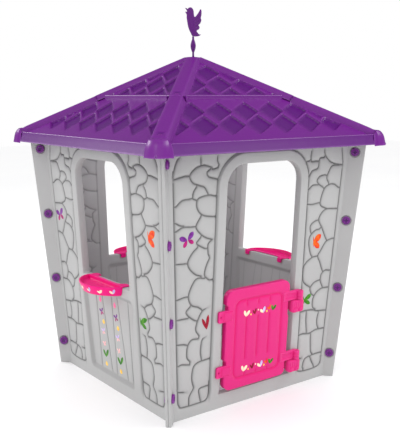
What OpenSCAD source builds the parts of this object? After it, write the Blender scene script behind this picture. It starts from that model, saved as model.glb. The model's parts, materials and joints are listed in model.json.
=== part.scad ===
// Plastic garden playhouse: four hollow moulded walls that lean out a little,
// a two-tier hipped roof, a half door on pins, three window trays and a vane.
// Origin: centre of the footprint on the ground. The door is in the -Y wall.

/* [Walls] */
// Distance from the centre to each wall's outer face at the ground
base_half = 393.5; // [380:0.5:410]
// Outward lean of each wall, degrees
lean = 3.32; // [3:0.01:3.6]
// Height of the walls
wall_h = 1034; // [1024:1:1034]
// Thickness of a hollow wall between its two faces
wall_t = 26; // [24:1:28]
// Thickness of the moulded skin
skin = 3; // [2.5:0.5:4]
// Half width of the door and window openings
opening_half = 178; // [172:1:182]
// Height of the top of the openings above the ground
opening_top = 920; // [900:1:925]
// Corner radius at the top of the openings
opening_r = 80; // [60:1:100]
// Width of the raised casing round an opening
casing_w = 43; // [36:1:46]
// How far the casing stands proud of the wall
casing_up = 5; // [3:0.5:6]
// Height of the window ledge
ledge_z = 448; // [440:1:456]
// Height of the door threshold
threshold_z = 59; // [50:1:64]

/* [Corner fins] */
// Thickness of one wall's flange
flange_t = 11; // [9:0.5:12]
// Radius of the round recess round a bolt
recess_r = 20.5; // [19:0.5:22]
// Depth of that recess
recess_d = 3; // [2:0.5:4]
// Radius of the bolt's shank
shank_r = 6; // [5:0.5:7]
// Radius of the bolt's head
head_r = 16.5; // [15:0.5:18]
// Height of the bolt's head
head_h = 8; // [6:0.5:9]

/* [Roof] */
// Pitch of the roof, degrees
pitch = 30; // [29.5:0.5:30]
// Distance from the centre to the valley above the eave
valley_half = 525; // [520:1:530]
// Height of the roof plane at that valley
valley_z = 1000; // [998:1:1004]
// Thickness of a roof sheet, measured straight down
sheet = 5.8; // [5:0.1:6.5]
// Width of a hip cap
hip_w = 68; // [60:1:74]
// Width of a hip cap's foot
foot_w = 96; // [84:1:100]

/* [Door] */
// Width of the door leaf
leaf_w = 312; // [304:1:314]
// Height of the door leaf
leaf_h = 390; // [384:1:394]
// Thickness of the door leaf
leaf_t = 26; // [22:1:27]
// Height of the leaf's lower edge above the ground
leaf_z = 69; // [66:1:74]
// Corner radius of the leaf
leaf_r = 32; // [24:1:40]
// Radius of a hinge pin
pin_r = 4; // [3.5:0.1:4.5]
// Radial clearance of the turning fits
run_fit = 0.06; // [0.03:0.01:0.1]

/* [Window trays] */
// Radius of the tray's curved front at its rim
tray_r = 150; // [146:1:156]
// Height of the tray's rim above the ground
rim_z = 453; // [452:1:456]
// Height of the tray's front face
tray_h = 37; // [36:1:42]

/* [Vane] */
// Height of the top of the vane above the ground
vane_top = 1499; // [1490:1:1505]
// Thickness of the bird plate
bird_t = 6; // [5:0.5:8]

/* [Hidden] */
$fn = 48;
SIDES = ["front", "right", "back", "left"];
CORNERS = ["front_right", "back_right", "back_left", "front_left"];
BOLT_Z = [101, 382, 660, 935];

// Sizes well past the object and just past a face, for cutting shapes
far = 1300;
eps = 1;
shell_grey = "#c6c6c6";
roof_purple = "#762f8c";
door_pink = "#ec3d8c";
tray_pink = "#e6007d";
bolt_purple = "#64197d";

// Walls: the hollow stops short of the ground, the openings and the corners
void_margin = 6;
void_corner_margin = 24;
void_bottom = 12;
void_height = 1008;
casing_drop = 34;
// Plank panel under a window, and the pad above it that backs the tray
plank_top = 394;
plank_bottom = 60;
plank_half_top = 170;
plank_half_bottom = 158;
plank_depth = 9;
pad_half = 146;
pad_z = 402;

// Corner fin: radial distances of its outer edge and of its bolts at height z
fin_edge_0 = 589;
fin_edge_rise = 0.1059;
bolt_row_0 = 562;
bolt_row_rise = 0.0924;
fin_root_0 = 530;
fin_root_rise = 0.082;
fin_root_z = wall_h - 4;
fin_top_z = 1008;
fin_shoulder = 25;
bolt_fit = 0.3;
bolt_past_seat = 4;
nut_h = 12;
function bolt_radius(z) = bolt_row_0 + bolt_row_rise * z;

// Roof planes, as heights at a distance h from the centre
slope = tan(pitch);
tier_step = 8;
function lower_z(h) = valley_z + slope * (valley_half - h);
function upper_z(h) = lower_z(h) + tier_step;
root2 = sqrt(2);
panel_gap = 2;
// Rim of the lower tier: how far out and how high it stands, and where it ends
lip_rise = 8;
rim_out = 6;
rim_z_top = 1007;
fascia_out = 20;
fascia_z = 968;
fascia_t = 5;
// A level below every part of the roof
under_roof = 900;
foot_bottom = 962;
apex_base_z = 1276;
apex_flange_z = 1268;
apex_flange_half = 36;
apex_flange_t = 9;
post_socket_z = 1272;
seam_h = 272;
lap_h = 262;
apex_h = 20;
apex_z = 1306;
cap_rise_lower = 14.6;
cap_rise_upper = 16;
cap_split_r = 398;
cap_eave_r = 718;
foot_h = 505;
// Distances along the hip of the screws in the upper and the lower caps
screw_upper_r = 378;
screw_lower_r = 688;
screw_pilot_r = 2.5;
sheet_hole_fit = 1.5;
screw_head_r = 8;
screw_head_h = 3.5;
screw_sink = 6;
screw_below = 8;

// Door: the leaf hangs in a frame that leans with the wall; x is along the
// wall, y points inward from the wall's outer face and z is up the wall.
leaf_x = -167;
leaf_front = 16;
lug_len = 67;
lug_h = 44;
lug_t = 12;
lug_x = -203;
lug_z = [128, 343];
lug_hole_r = 2.5;
lug_end_r = 8;
lug_hole_in = 11;
axis_x = 196;
axis_out = 19;
knuckle_r = 13.4;
knuckle_h = 36;
strap_x = 112;
strap_h = 40;
hinge_z = [124, 373];
bracket_h = 49;
bracket_x = 152;
bracket_w = 60;
bracket_out = 31;
hook_in = 9;
bracket_r = 9;
hook_margin = 8;
casing_gap = 0.2;
screw_seat_r = 7;
screw_seat_d = 3;
screw_hole_r = 2.2;
bracket_screw_r = 2;
bracket_screw_len = 24;
boss_up = 10;
pin_up = 31;
pin_down = 34;
boss_x = [167, 196];

// Trays
tray_front = 100;
tray_half = 135;
tray_skin = 4;
tray_lean_in = 15;
tray_dish = 14;
tray_rim_w = 8;
tray_under = 18;
ledge_gap = 1.6;
clip_x = [-108, 108];
clip_w = 26;
clip_t = 6;
clip_drop = 16;
lip_half = 128;
wall_at_tray = base_half + ledge_z * tan(lean);
// Clear of the wall's inner face, which comes forward a little below the ledge
clip_y = -wall_at_tray + wall_t + 1.6;

// Vane
post_r = 4;
hub_z = 1327;
hub_h = 47;
hub_r = 10.5;
hub_neck = 14;
post_in_hub = 20;
foot_z = hub_z + hub_h + hub_neck;
bird_drawn_h = 114;
WING_TIPS = [[38, 107], [42, 73], [33, 43]];

// ---------- helpers ----------

// Turns the front (-Y) side onto side i, counted towards +X
module on_side(i) {
    rotate([0, 0, 90 * i]) children();
}

// Turns a shape drawn along +X onto corner i, counted from front right
module on_corner(i) {
    rotate([0, 0, -45 + 90 * i]) children();
}

// Frame of the front wall's leaning outer face
module on_wall() {
    translate([0, -base_half, 0]) rotate([lean, 0, 0]) children();
}

// Everything nearer to the front wall than to the others, less a margin
module front_wedge(margin = 0) {
    translate([0, -margin, -far])
        linear_extrude(height = 3 * far)
            polygon([[0, 0], [-far, -far], [far, -far]]);
}

// Prism along X from an outline of [distance from centre, height] points
module eave_prism(points) {
    rotate([90, 0, 90])
        linear_extrude(height = 2 * far, center = true)
            polygon([for (p = points) [-p[0], p[1]]]);
}

// Prism of width w about a corner's upright plane, outline [radius, height]
module radial_prism(points, w) {
    rotate([90, 0, 0])
        linear_extrude(height = w, center = true) polygon(points);
}

// Rectangle from [x0, z0] to [x1, z1] with round corners
module rounded_rect(x0, z0, x1, z1, r) {
    translate([x0 + r, z0]) square([x1 - x0 - 2 * r, z1 - z0]);
    translate([x0, z0 + r]) square([x1 - x0, z1 - z0 - 2 * r]);
    for (x = [x0 + r, x1 - r], z = [z0 + r, z1 - r]) translate([x, z]) circle(r);
}

// Outline of an opening: square below, round corners above
module arch(half, z0, z1, r) {
    translate([-half, z0]) square([2 * half, z1 - z0 - r]);
    translate([-half + r, z0]) square([2 * (half - r), z1 - z0]);
    for (x = [-half + r, half - r]) translate([x, z1 - r]) circle(r);
}

// Plate in the wall's frame, from y0 to y1, with an outline in x and z
module wall_plate(y0, y1) {
    translate([0, y1, 0]) rotate([90, 0, 0])
        linear_extrude(height = y1 - y0) children();
}

// ---------- walls ----------

// The hollow inside a wall, all round the opening
module wall_void() {
    void_half = opening_half + void_margin;
    intersection() {
        front_wedge(void_corner_margin);
        on_wall() wall_plate(skin, wall_t - skin) difference() {
            translate([-far / 2, void_bottom]) square([far, void_height]);
            translate([-void_half, 0]) square([2 * void_half, opening_top + void_margin]);
        }
    }
}

// Both corners of the front wall, drawn with the corner along +X and the wall at -Y
module at_wall_corners() {
    for (side = [0, 1]) mirror([side, 0, 0]) rotate([0, 0, -45]) children();
}

// One wall's flange at a corner
module wall_flange() {
    translate([0, -flange_t / 2, 0])
        radial_prism([
            [fin_root_0, 0],
            [fin_edge_0, 0],
            [fin_edge_0 + fin_edge_rise * fin_top_z, fin_top_z],
            [fin_root_0 + fin_root_rise * wall_h + fin_shoulder, fin_root_z],
            [fin_root_0 + fin_root_rise * wall_h, fin_root_z]
        ], flange_t);
}

// Bores of a flange's bolts, and the round recesses for their heads
module flange_cuts() {
    for (z = BOLT_Z) translate([bolt_radius(z), 0, z]) rotate([90, 0, 0]) {
        translate([0, 0, -eps]) cylinder(r = shank_r + bolt_fit, h = flange_t + 2 * eps);
        translate([0, 0, flange_t - recess_d]) cylinder(r = recess_r, h = recess_r);
    }
}

// Leaning wall with an opening from height z0 up, its casing and its flanges
module wall_body(z0) {
    difference() {
        union() {
            intersection() {
                front_wedge();
                on_wall() wall_plate(0, wall_t)
                    translate([-far / 2, -2 * wall_t]) square([far, wall_h + 4 * wall_t]);
                translate([-far, -far, 0]) cube([2 * far, 2 * far, wall_h]);
            }
            at_wall_corners() wall_flange();
            on_wall() wall_plate(-casing_up, eps)
                arch(opening_half + casing_w, z0 - casing_drop,
                    opening_top + casing_w, opening_r + casing_w);
        }
        on_wall() wall_plate(-wall_t, 2 * wall_t)
            arch(opening_half, z0, opening_top, opening_r);
        at_wall_corners() flange_cuts();
        wall_void();
    }
}

// A wall with a window: planks in a recess below it and a pad for the tray
module window_wall() {
    color(shell_grey) difference() {
        union() {
            wall_body(ledge_z);
            on_wall() wall_plate(-casing_up, eps)
                translate([-pad_half, pad_z]) square([2 * pad_half, ledge_z - pad_z]);
        }
        on_wall() wall_plate(-wall_t, plank_depth) plank_recess();
        on_wall() wall_plate(wall_t - plank_depth, 2 * wall_t) plank_recess();
    }
}

module plank_recess() {
    polygon([
        [-plank_half_top, plank_top],
        [-plank_half_bottom, plank_bottom],
        [plank_half_bottom, plank_bottom],
        [plank_half_top, plank_top]
    ]);
}

module door_wall() {
    color(shell_grey) wall_body(threshold_z);
}

// ---------- corner fasteners ----------

module corner_bolts() {
    seat = flange_t - recess_d;
    color(bolt_purple) for (i = [0:3]) on_corner(i)
        for (z = BOLT_Z) translate([bolt_radius(z), 0, z]) rotate([90, 0, 0]) {
            translate([0, 0, seat]) cylinder(r = head_r, h = head_h);
            translate([0, 0, -seat - bolt_past_seat])
                cylinder(r = shank_r, h = 2 * seat + bolt_past_seat + eps);
        }
}

module corner_nuts() {
    seat = flange_t - recess_d;
    color(bolt_purple) for (i = [0:3]) on_corner(i)
        for (z = BOLT_Z) translate([bolt_radius(z), 0, z]) rotate([-90, 0, 0])
            difference() {
                translate([0, 0, seat]) cylinder(r = head_r, h = nut_h);
                translate([0, 0, seat - eps])
                    cylinder(r = shank_r + 0.1, h = bolt_past_seat + 1.5 * eps);
            }
}

// ---------- window trays ----------

module window_tray() {
    centre_out = wall_at_tray + tray_front - tray_r;
    face_out = wall_at_tray + casing_up + 0.4;
    color(tray_pink) difference() {
        union() {
            // curved bowl in front of the wall
            intersection() {
                translate([0, -centre_out, rim_z - tray_h])
                    cylinder(r1 = tray_r - tray_lean_in, r2 = tray_r, h = tray_h, $fn = 96);
                translate([-tray_half, -far, 0]) cube([2 * tray_half, far - face_out, far]);
            }
            // lip that lies on the ledge
            translate([-lip_half, -face_out - eps, ledge_z + ledge_gap])
                cube([
                    2 * lip_half,
                    clip_y + clip_t + face_out + eps,
                    rim_z - ledge_z - ledge_gap
                ]);
            // clips that hook down behind the wall
            for (x = clip_x) translate([x - clip_w / 2, clip_y, ledge_z - clip_drop])
                cube([clip_w, clip_t, rim_z - ledge_z + clip_drop]);
        }
        // hollow of the tray
        intersection() {
            translate([0, -centre_out, rim_z - tray_dish])
                cylinder(r1 = tray_r - 14, r2 = tray_r - tray_rim_w, h = tray_dish + eps, $fn = 96);
            translate([-tray_half + tray_rim_w + 2, -far, 0])
                cube([2 * (tray_half - tray_rim_w - 2), far - face_out - tray_rim_w + 2, far]);
        }
        // hollow underneath, open below
        intersection() {
            translate([0, -centre_out, rim_z - tray_h - eps])
                cylinder(
                    r1 = tray_r - tray_lean_in - tray_skin - eps,
                    r2 = tray_r - tray_skin - 11,
                    h = tray_under, $fn = 96
                );
            translate([-tray_half + tray_skin, -far, 0])
                cube([2 * (tray_half - tray_skin), far - face_out - tray_skin, far]);
        }
    }
}

// ---------- roof ----------

// Sheet of the lower tier with its valley, rim and sloping fascia
module roof_lower() {
    color(roof_purple) difference() {
        intersection() {
            front_wedge(panel_gap);
            eave_prism([
                [lap_h, lower_z(lap_h)],
                [valley_half - 7, lower_z(valley_half - 7)],
                [valley_half, lower_z(valley_half) + lip_rise],
                [valley_half + rim_out, rim_z_top],
                [valley_half + fascia_out, fascia_z],
                [valley_half + fascia_out - fascia_t, fascia_z - 0.5],
                [valley_half + 1, lower_z(valley_half) + 0.6],
                [valley_half - 10, lower_z(valley_half - 10) - sheet],
                [lap_h, lower_z(lap_h) - sheet]
            ]);
        }
        for (i = [0, 3], r = [screw_lower_r, screw_upper_r])
            on_corner(i) cap_screw_hole(r, sheet_hole_fit);
    }
}

// Sheet of the upper tier, lapping over the lower one at the seam
module roof_upper() {
    color(roof_purple) difference() {
        intersection() {
            front_wedge(panel_gap);
            eave_prism([
                [apex_h, upper_z(apex_h)],
                [seam_h - 4, upper_z(seam_h - 4)],
                [seam_h - 1, upper_z(seam_h) + 3.6],
                [seam_h + 4, upper_z(seam_h) + 2.2],
                [seam_h + 5.5, lower_z(seam_h + 5.5) + 1],
                [seam_h, lower_z(seam_h) + 1],
                [seam_h - 4, upper_z(seam_h - 4) - sheet],
                [apex_h, upper_z(apex_h) - sheet]
            ]);
        }
        for (i = [0, 3]) on_corner(i) {
            cap_screw_hole(screw_upper_r, sheet_hole_fit);
            cap_screw_seat(screw_upper_r, cap_rise_upper);
        }
    }
}

// Everything under one tier's surface on the two sides next to a corner
module under_tier(rise) {
    for (a = [45, -45]) rotate([0, 0, a]) intersection() {
        front_wedge();
        eave_prism([
            [-eps, under_roof], [-eps, lower_z(-eps) + rise],
            [far / 2, lower_z(far / 2) + rise], [far / 2, under_roof]
        ]);
    }
}

// Everything past the foot's start on the two sides next to a corner
module past_foot() {
    for (a = [45, -45]) rotate([0, 0, a]) intersection() {
        front_wedge();
        eave_prism([
            [foot_h + eps, under_roof], [foot_h + eps, far],
            [far / 2, far], [far / 2, under_roof]
        ]);
    }
}

// Screw axis, square to the hip line at a distance r along it
module on_hip(r) {
    hip_angle = atan(slope / root2);
    translate([r, 0, lower_z(r / root2)]) rotate([0, hip_angle, 0]) children();
}

module cap_screw_hole(r, fit = 0.6) {
    on_hip(r) translate([0, 0, -40]) cylinder(r = screw_pilot_r + fit, h = 80);
}

// Round seat in a cap of height rise for the head of its screw
module cap_screw_seat(r, rise) {
    on_hip(r) translate([0, 0, rise - screw_sink]) cylinder(r = screw_head_r + 1.5, h = 20);
}

// Caps are drawn with the corner along +X
module hip_cap_lower() {
    color(roof_purple) difference() {
        union() {
            difference() {
                radial_prism([
                    [cap_split_r + 1, lower_z((cap_split_r + 1) / root2) - 30],
                    [cap_split_r + 1, lower_z((cap_split_r + 1) / root2) + cap_rise_lower],
                    [cap_eave_r, lower_z(cap_eave_r / root2) + cap_rise_lower],
                    [cap_eave_r, lower_z(cap_eave_r / root2) - 30]
                ], hip_w);
                rotate([0, 0, 90]) under_tier(0.05);
                rotate([0, 0, 90]) past_foot();
            }
            hip_foot();
        }
        cap_screw_hole(screw_lower_r);
        cap_screw_seat(screw_lower_r, cap_rise_lower);
    }
}

// Foot that wraps the corner of the fascia
module hip_foot() {
    intersection() {
        for (a = [45, -45]) rotate([0, 0, a + 90]) intersection() {
            front_wedge();
            eave_prism([
                [foot_h, lower_z(foot_h) + 0.7], [foot_h, 1029],
                [526, 1021], [537, 1010], [545, 994], [552, foot_bottom],
                [valley_half + fascia_out + 0.5, foot_bottom],
                [valley_half + fascia_out + 0.4, fascia_z - 1],
                [valley_half + rim_out + 0.4, rim_z_top + 0.6],
                [valley_half, lower_z(valley_half) + lip_rise + 1],
                [valley_half - 7.3, 1004.9]
            ]);
        }
        translate([0, -foot_w / 2, 0]) cube([far, foot_w, 2 * far]);
    }
}

module hip_cap_upper() {
    start = apex_h * root2;
    color(roof_purple) difference() {
        intersection() {
            radial_prism([
                [start, lower_z(start / root2) - 20],
                [start, lower_z(start / root2) + cap_rise_upper],
                [cap_split_r, lower_z(cap_split_r / root2) + cap_rise_upper],
                [cap_split_r, lower_z(cap_split_r / root2) - 20]
            ], hip_w);
            rotate([0, 0, 90]) front_wedge(panel_gap);
        }
        rotate([0, 0, 90]) under_tier(tier_step + 0.05);
        rotate([0, 0, 90]) seam_rims();
        cap_screw_hole(screw_upper_r);
        cap_screw_seat(screw_upper_r, cap_rise_upper);
    }
}

// Room under an upper cap for the rims of the two upper sheets
module seam_rims() {
    for (a = [45, -45]) rotate([0, 0, a]) intersection() {
        front_wedge();
        eave_prism([
            [seam_h - 5, upper_z(seam_h - 5) - 20], [seam_h - 5, upper_z(seam_h - 5) + 4.5],
            [seam_h + 12, upper_z(seam_h + 12) + 4.5], [seam_h + 12, upper_z(seam_h + 12) - 20]
        ]);
    }
}

module apex_cap() {
    color(roof_purple) difference() {
        union() {
            translate([-apex_h + 0.5, -apex_h + 0.5, apex_base_z])
                cube([2 * apex_h - 1, 2 * apex_h - 1, apex_z - apex_base_z]);
            translate([-apex_flange_half, -apex_flange_half, apex_flange_z])
                cube([2 * apex_flange_half, 2 * apex_flange_half, apex_flange_t]);
        }
        translate([0, 0, post_socket_z]) cylinder(r = post_r + 0.1, h = far);
        translate([0, 0, apex_z - 5]) cylinder(r = 13, h = far);
    }
}

module roof_screws() {
    color(bolt_purple) for (i = [0:3]) on_corner(i) {
        on_hip(screw_lower_r) hip_screw(cap_rise_lower - screw_sink);
        on_hip(screw_upper_r) hip_screw(cap_rise_upper - screw_sink);
    }
}

module hip_screw(seat) {
    translate([0, 0, seat]) cylinder(r = screw_head_r, h = screw_head_h);
    translate([0, 0, -screw_below]) cylinder(r = screw_pilot_r, h = seat + screw_below + eps);
}

// ---------- door ----------

// Hollow leaf with pockets in its front for the lugs and the hinge straps
module door_leaf() {
    back = leaf_t - leaf_front;
    color(door_pink) on_wall() difference() {
        wall_plate(-leaf_front, back)
            rounded_rect(leaf_x, leaf_z, leaf_x + leaf_w, leaf_z + leaf_h, leaf_r);
        // hollow behind the pockets
        wall_plate(lug_t + skin - leaf_front, back - skin)
            rounded_rect(leaf_x + skin, leaf_z + skin,
                leaf_x + leaf_w - skin, leaf_z + leaf_h - skin, leaf_r - skin);
        // deeper hollow between the pockets
        wall_plate(skin - leaf_front, back - skin)
            translate([lug_x + lug_len + skin, leaf_z + skin])
                square([strap_x - lug_x - lug_len - 2 * skin, leaf_h - 2 * skin]);
        for (z = lug_z) strap_pocket(leaf_x - eps, lug_x + lug_len + 0.1, z, lug_h);
        for (z = hinge_z) strap_pocket(strap_x - 0.1, leaf_x + leaf_w + eps, z, strap_h);
    }
}

// Shallow pocket in the leaf's front for a lug or a hinge strap
module strap_pocket(x0, x1, z, h) {
    translate([x0, -leaf_front - eps, z - 0.1])
        cube([x1 - x0, lug_t - 2 + eps, h + 0.2]);
}

// Stop lug at the free edge: it lies over the casing when the door is shut
module door_lug(z) {
    y0 = -leaf_front - 2;
    color(door_pink) on_wall() difference() {
        wall_plate(y0, y0 + lug_t) {
            translate([lug_x, z]) rounded_rect(0, 0, lug_len - lug_end_r / 2, lug_h, lug_end_r);
            translate([lug_x + lug_end_r + 10, z]) square([lug_len - lug_end_r - 10, lug_h]);
        }
        translate([lug_x + lug_hole_in, y0 - eps, z + lug_h / 2]) rotate([-90, 0, 0])
            cylinder(r = lug_hole_r, h = lug_t + 2 * eps);
    }
}

// Hinge strap with an upright knuckle that turns on the pin
module door_hinge(z) {
    y0 = -leaf_front - 2;
    color(door_pink) on_wall() difference() {
        union() {
            translate([strap_x, y0, z]) cube([axis_x - strap_x, lug_t, strap_h]);
            translate([axis_x, -axis_out, z]) cylinder(r = knuckle_r, h = knuckle_h);
        }
        translate([axis_x, -axis_out, z - eps])
            cylinder(r = pin_r + run_fit, h = pin_up + 1.5 * eps);
        translate([axis_x - 40, -axis_out - 30, z + knuckle_h])
            cube([80, 60, strap_h]);
    }
}

// Block on the casing that carries the pin, with a hook round the jamb
module hinge_bracket(z) {
    top = z - 0.6;
    color(door_pink) on_wall() difference() {
        union() {
            wall_plate(-bracket_out, -casing_up - casing_gap)
                rounded_rect(bracket_x, top - bracket_h, bracket_x + bracket_w, top, bracket_r);
            wall_plate(-bracket_out + 4, hook_in)
                translate([bracket_x, top - bracket_h + hook_margin])
                    square([opening_half - 2 * casing_gap - bracket_x, bracket_h - 2 * hook_margin]);
        }
        translate([axis_x, -axis_out, top - pin_down]) cylinder(r = pin_r + 0.02, h = far / 4);
        for (x = boss_x) bracket_screw_hole(x, z);
    }
}

module bracket_screw_hole(x, z) {
    translate([x, -bracket_out - eps, boss_z(z)]) rotate([-90, 0, 0]) {
        cylinder(r = screw_seat_r, h = screw_seat_d + eps);
        cylinder(r = screw_hole_r, h = 2 * bracket_screw_len);
    }
}

function boss_z(z) = z - bracket_h + boss_up;

module hinge_pin(z) {
    color(door_pink) on_wall()
        translate([axis_x, -axis_out, z - 0.6 - pin_down])
            cylinder(r = pin_r, h = pin_down + pin_up);
}

module bracket_screws() {
    color(door_pink) on_wall() for (z = hinge_z, x = boss_x)
        translate([x, -bracket_out, boss_z(z)]) rotate([-90, 0, 0]) {
            translate([0, 0, -screw_seat_d / 2])
                cylinder(r = screw_seat_r - 0.4, h = 1.5 * screw_seat_d - 0.1);
            cylinder(r = bracket_screw_r, h = bracket_screw_len);
        }
}

// ---------- vane ----------

module vane_post() {
    color(bolt_purple) {
        translate([0, 0, post_socket_z + eps])
            cylinder(r = post_r, h = hub_z + post_in_hub - post_socket_z - eps);
        translate([0, 0, apex_z - 4.6]) cylinder(r1 = 9, r2 = 5, h = 8);
    }
}

// Spindle-shaped hub that turns on the post
module vane_hub() {
    color(bolt_purple) difference() {
        translate([0, 0, hub_z]) rotate_extrude() polygon([
            [0, 0], [5.6, 0], [8.5, 8], [hub_r, 18], [hub_r, 26], [8.5, 36], [5, hub_h],
            [4, hub_h + hub_neck], [0, hub_h + hub_neck]
        ]);
        translate([0, 0, hub_z - eps])
            cylinder(r = post_r + run_fit, h = post_in_hub + 1.5 + eps);
    }
}

// Plain bird with a raised wing, standing on the hub
module vane_bird() {
    color(bolt_purple) translate([0, 0, foot_z]) rotate([90, 0, 0])
        linear_extrude(height = bird_t, center = true)
            scale((vane_top - foot_z) / bird_drawn_h) bird_outline($fn = 32);
}

// Outline of the bird, drawn bird_drawn_h high: x forward is to the left
module bird_outline() {
    hull() {
        translate([-10, 100]) circle(14);
        translate([-8, 66]) circle(22);
    }
    hull() {
        translate([-8, 66]) circle(22);
        translate([-4, 34]) circle(17);
        translate([-4, 0]) square([9, 8]);
    }
    hull() {
        translate([-14, 101]) circle(6);
        translate([-36, 98]) circle(1);
    }
    for (tip = WING_TIPS) hull() {
        translate([10, 56]) circle(17);
        translate(tip) circle(3);
    }
    hull() {
        translate([6, 13]) circle(9);
        translate([38, 10]) circle(1.5);
    }
}

// ---------- assembly ----------

on_side(0) door_wall();  // wall_front
on_side(1) window_wall();  // wall_right
on_side(2) window_wall();  // wall_back
on_side(3) window_wall();  // wall_left
corner_bolts();
corner_nuts();
for (i = [1:3])
    on_side(i) window_tray();
for (i = [0:3]) {
    on_side(i) roof_lower();
    on_side(i) roof_upper();
    on_corner(i) hip_cap_lower();
    on_corner(i) hip_cap_upper();
}
apex_cap();
roof_screws();
door_leaf();
door_lug(lug_z[1]);  // door_lug_upper
door_lug(lug_z[0]);  // door_lug_lower
door_hinge(hinge_z[1]);  // door_hinge_upper
door_hinge(hinge_z[0]);  // door_hinge_lower
hinge_bracket(hinge_z[1]);  // hinge_bracket_upper
hinge_bracket(hinge_z[0]);  // hinge_bracket_lower
hinge_pin(hinge_z[1]);  // hinge_pin_upper
hinge_pin(hinge_z[0]);  // hinge_pin_lower
bracket_screws();
vane_post();
vane_hub();
vane_bird();
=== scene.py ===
"""Looks of a moulded plastic playhouse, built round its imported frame. Sizes are in mm."""

import json
import math

import bmesh
import bpy
import numpy as np
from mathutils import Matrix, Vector
from mathutils.geometry import delaunay_2d_cdt
from mathutils.kdtree import KDTree


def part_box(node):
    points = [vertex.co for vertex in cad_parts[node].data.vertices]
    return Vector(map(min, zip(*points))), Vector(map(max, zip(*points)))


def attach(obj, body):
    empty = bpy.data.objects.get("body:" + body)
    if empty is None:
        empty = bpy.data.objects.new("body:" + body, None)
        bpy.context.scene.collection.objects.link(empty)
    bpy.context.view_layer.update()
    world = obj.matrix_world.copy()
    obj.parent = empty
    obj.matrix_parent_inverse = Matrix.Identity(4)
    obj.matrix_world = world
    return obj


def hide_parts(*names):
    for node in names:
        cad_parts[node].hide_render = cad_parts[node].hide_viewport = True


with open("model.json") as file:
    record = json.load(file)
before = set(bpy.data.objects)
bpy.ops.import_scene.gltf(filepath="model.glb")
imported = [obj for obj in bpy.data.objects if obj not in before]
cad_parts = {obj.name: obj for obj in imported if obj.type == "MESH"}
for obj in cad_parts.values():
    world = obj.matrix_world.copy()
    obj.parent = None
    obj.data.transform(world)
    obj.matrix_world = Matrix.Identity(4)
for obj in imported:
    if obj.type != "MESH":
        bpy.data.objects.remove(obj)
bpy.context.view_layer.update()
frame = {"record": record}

MM = 0.001
SIDES = ["front", "right", "back", "left"]
CORNERS = ["front_right", "back_right", "back_left", "front_left"]


def box_mm(node):
    """Lowest and highest corner of a CAD node, in mm."""
    lo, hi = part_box(node)
    return np.array(lo) / MM, np.array(hi) / MM


# ---------- sizes from the frame ----------

HINGE = next(j for j in frame["record"]["behaviour"]["joints"] if j["name"] == "door_hinge")
LEAN = math.atan2(-HINGE["axis"][1], HINGE["axis"][2])
SIN_LEAN, COS_LEAN = math.sin(LEAN), math.cos(LEAN)
AXIS_OUT = 19
AXIS_X = HINGE["pos_m"][0] / MM
AXIS_UP = (HINGE["pos_m"][2] / MM + AXIS_OUT * SIN_LEAN) / COS_LEAN
BASE_HALF = -HINGE["pos_m"][1] / MM - AXIS_OUT * COS_LEAN - AXIS_UP * SIN_LEAN
WALL_TOP = 1028
WALL_T = 26
FASCIA_OUT = 20
VALLEY_HALF = -box_mm("roof_lower_front")[0][1] - FASCIA_OUT
APEX_Z = box_mm("apex_cap")[1][2]
APEX_FOOT = 1270
HUB_Z = box_mm("vane_hub")[0][2]
BIRD_LO, BIRD_HI = box_mm("vane_bird")
RIM_Z = box_mm("tray_left")[1][2]

# Openings in the walls, and the raised casing round them
OPEN_HALF = 178
OPEN_TOP = 920
OPEN_R = 80
CASING_W = 43
CASING_UP = 5
LEDGE_Z = 448
THRESHOLD_Z = 59
FIELD_OUTER = 357
FIELD_RISE = 0.056
FIELD_FOOT = 46

# Corner fins and their bolts
BOLT_Z = [101, 382, 660, 935]
FIN_T = 11
# Radius of the root and of the free edge at the ground, and of the shoulder at the top
FIN_ROOT, FIN_EDGE, FIN_SHOULDER = 535, 589, 640
FIN_ROOT_TOP, FIN_TOP = 1026, 1008
FIN_ROOT_LEAN, FIN_EDGE_LEAN = 0.082, 0.1059
RECESS_R = 20.5
RECESS_D = 3
HEAD_R = 16.5
HEAD_H = 8
NUT_H = 12

# Roof
SLOPE = math.tan(math.radians(30))
VALLEY_Z = 1000
TIER_STEP = 8
SHEET_T = 3.2
LAP_H = 262
SEAM_H = 272
APEX_H = 20
HIP_SCREWS = {"upper": 378, "lower": 688}


def bolt_radius(z):
    """Distance of a corner bolt from the house's axis at height z."""
    return 562 + 0.0924 * z


def lower_z(h):
    """Height of the lower roof sheets at a distance h from the house's middle."""
    return VALLEY_Z + SLOPE * (VALLEY_HALF - h)


def upper_z(h):
    """The same for the upper sheets, which lap over the lower ones."""
    return lower_z(h) + TIER_STEP


# ---------- small tools ----------

def smooth(t):
    """0 below 0, 1 above 1 and a soft step between."""
    t = np.clip(t, 0, 1)
    return t * t * (3 - 2 * t)


def bell(t):
    """1 at 0, falling softly to either side."""
    return np.exp(-t * t)


def spline(points, step, closed=False):
    """Soft curve through the points, sampled about every step."""
    p = np.asarray(points, float)
    if closed:
        p = np.vstack([p[-1], p, p[:2]])
    else:
        p = np.vstack([2 * p[0] - p[1], p, 2 * p[-1] - p[-2]])
    parts = []
    for a, b, c, d in zip(p, p[1:], p[2:], p[3:]):
        t = np.linspace(0, 1, max(1, round(np.linalg.norm(c - b) / step)), endpoint=False)[:, None]
        parts.append(b + 0.5 * t * (c - a + t * (2 * a - 5 * b + 4 * c - d
                                                 + t * (3 * (b - c) + d - a))))
    if not closed:
        parts.append(p[-2][None])
    return np.vstack(parts)


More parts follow.
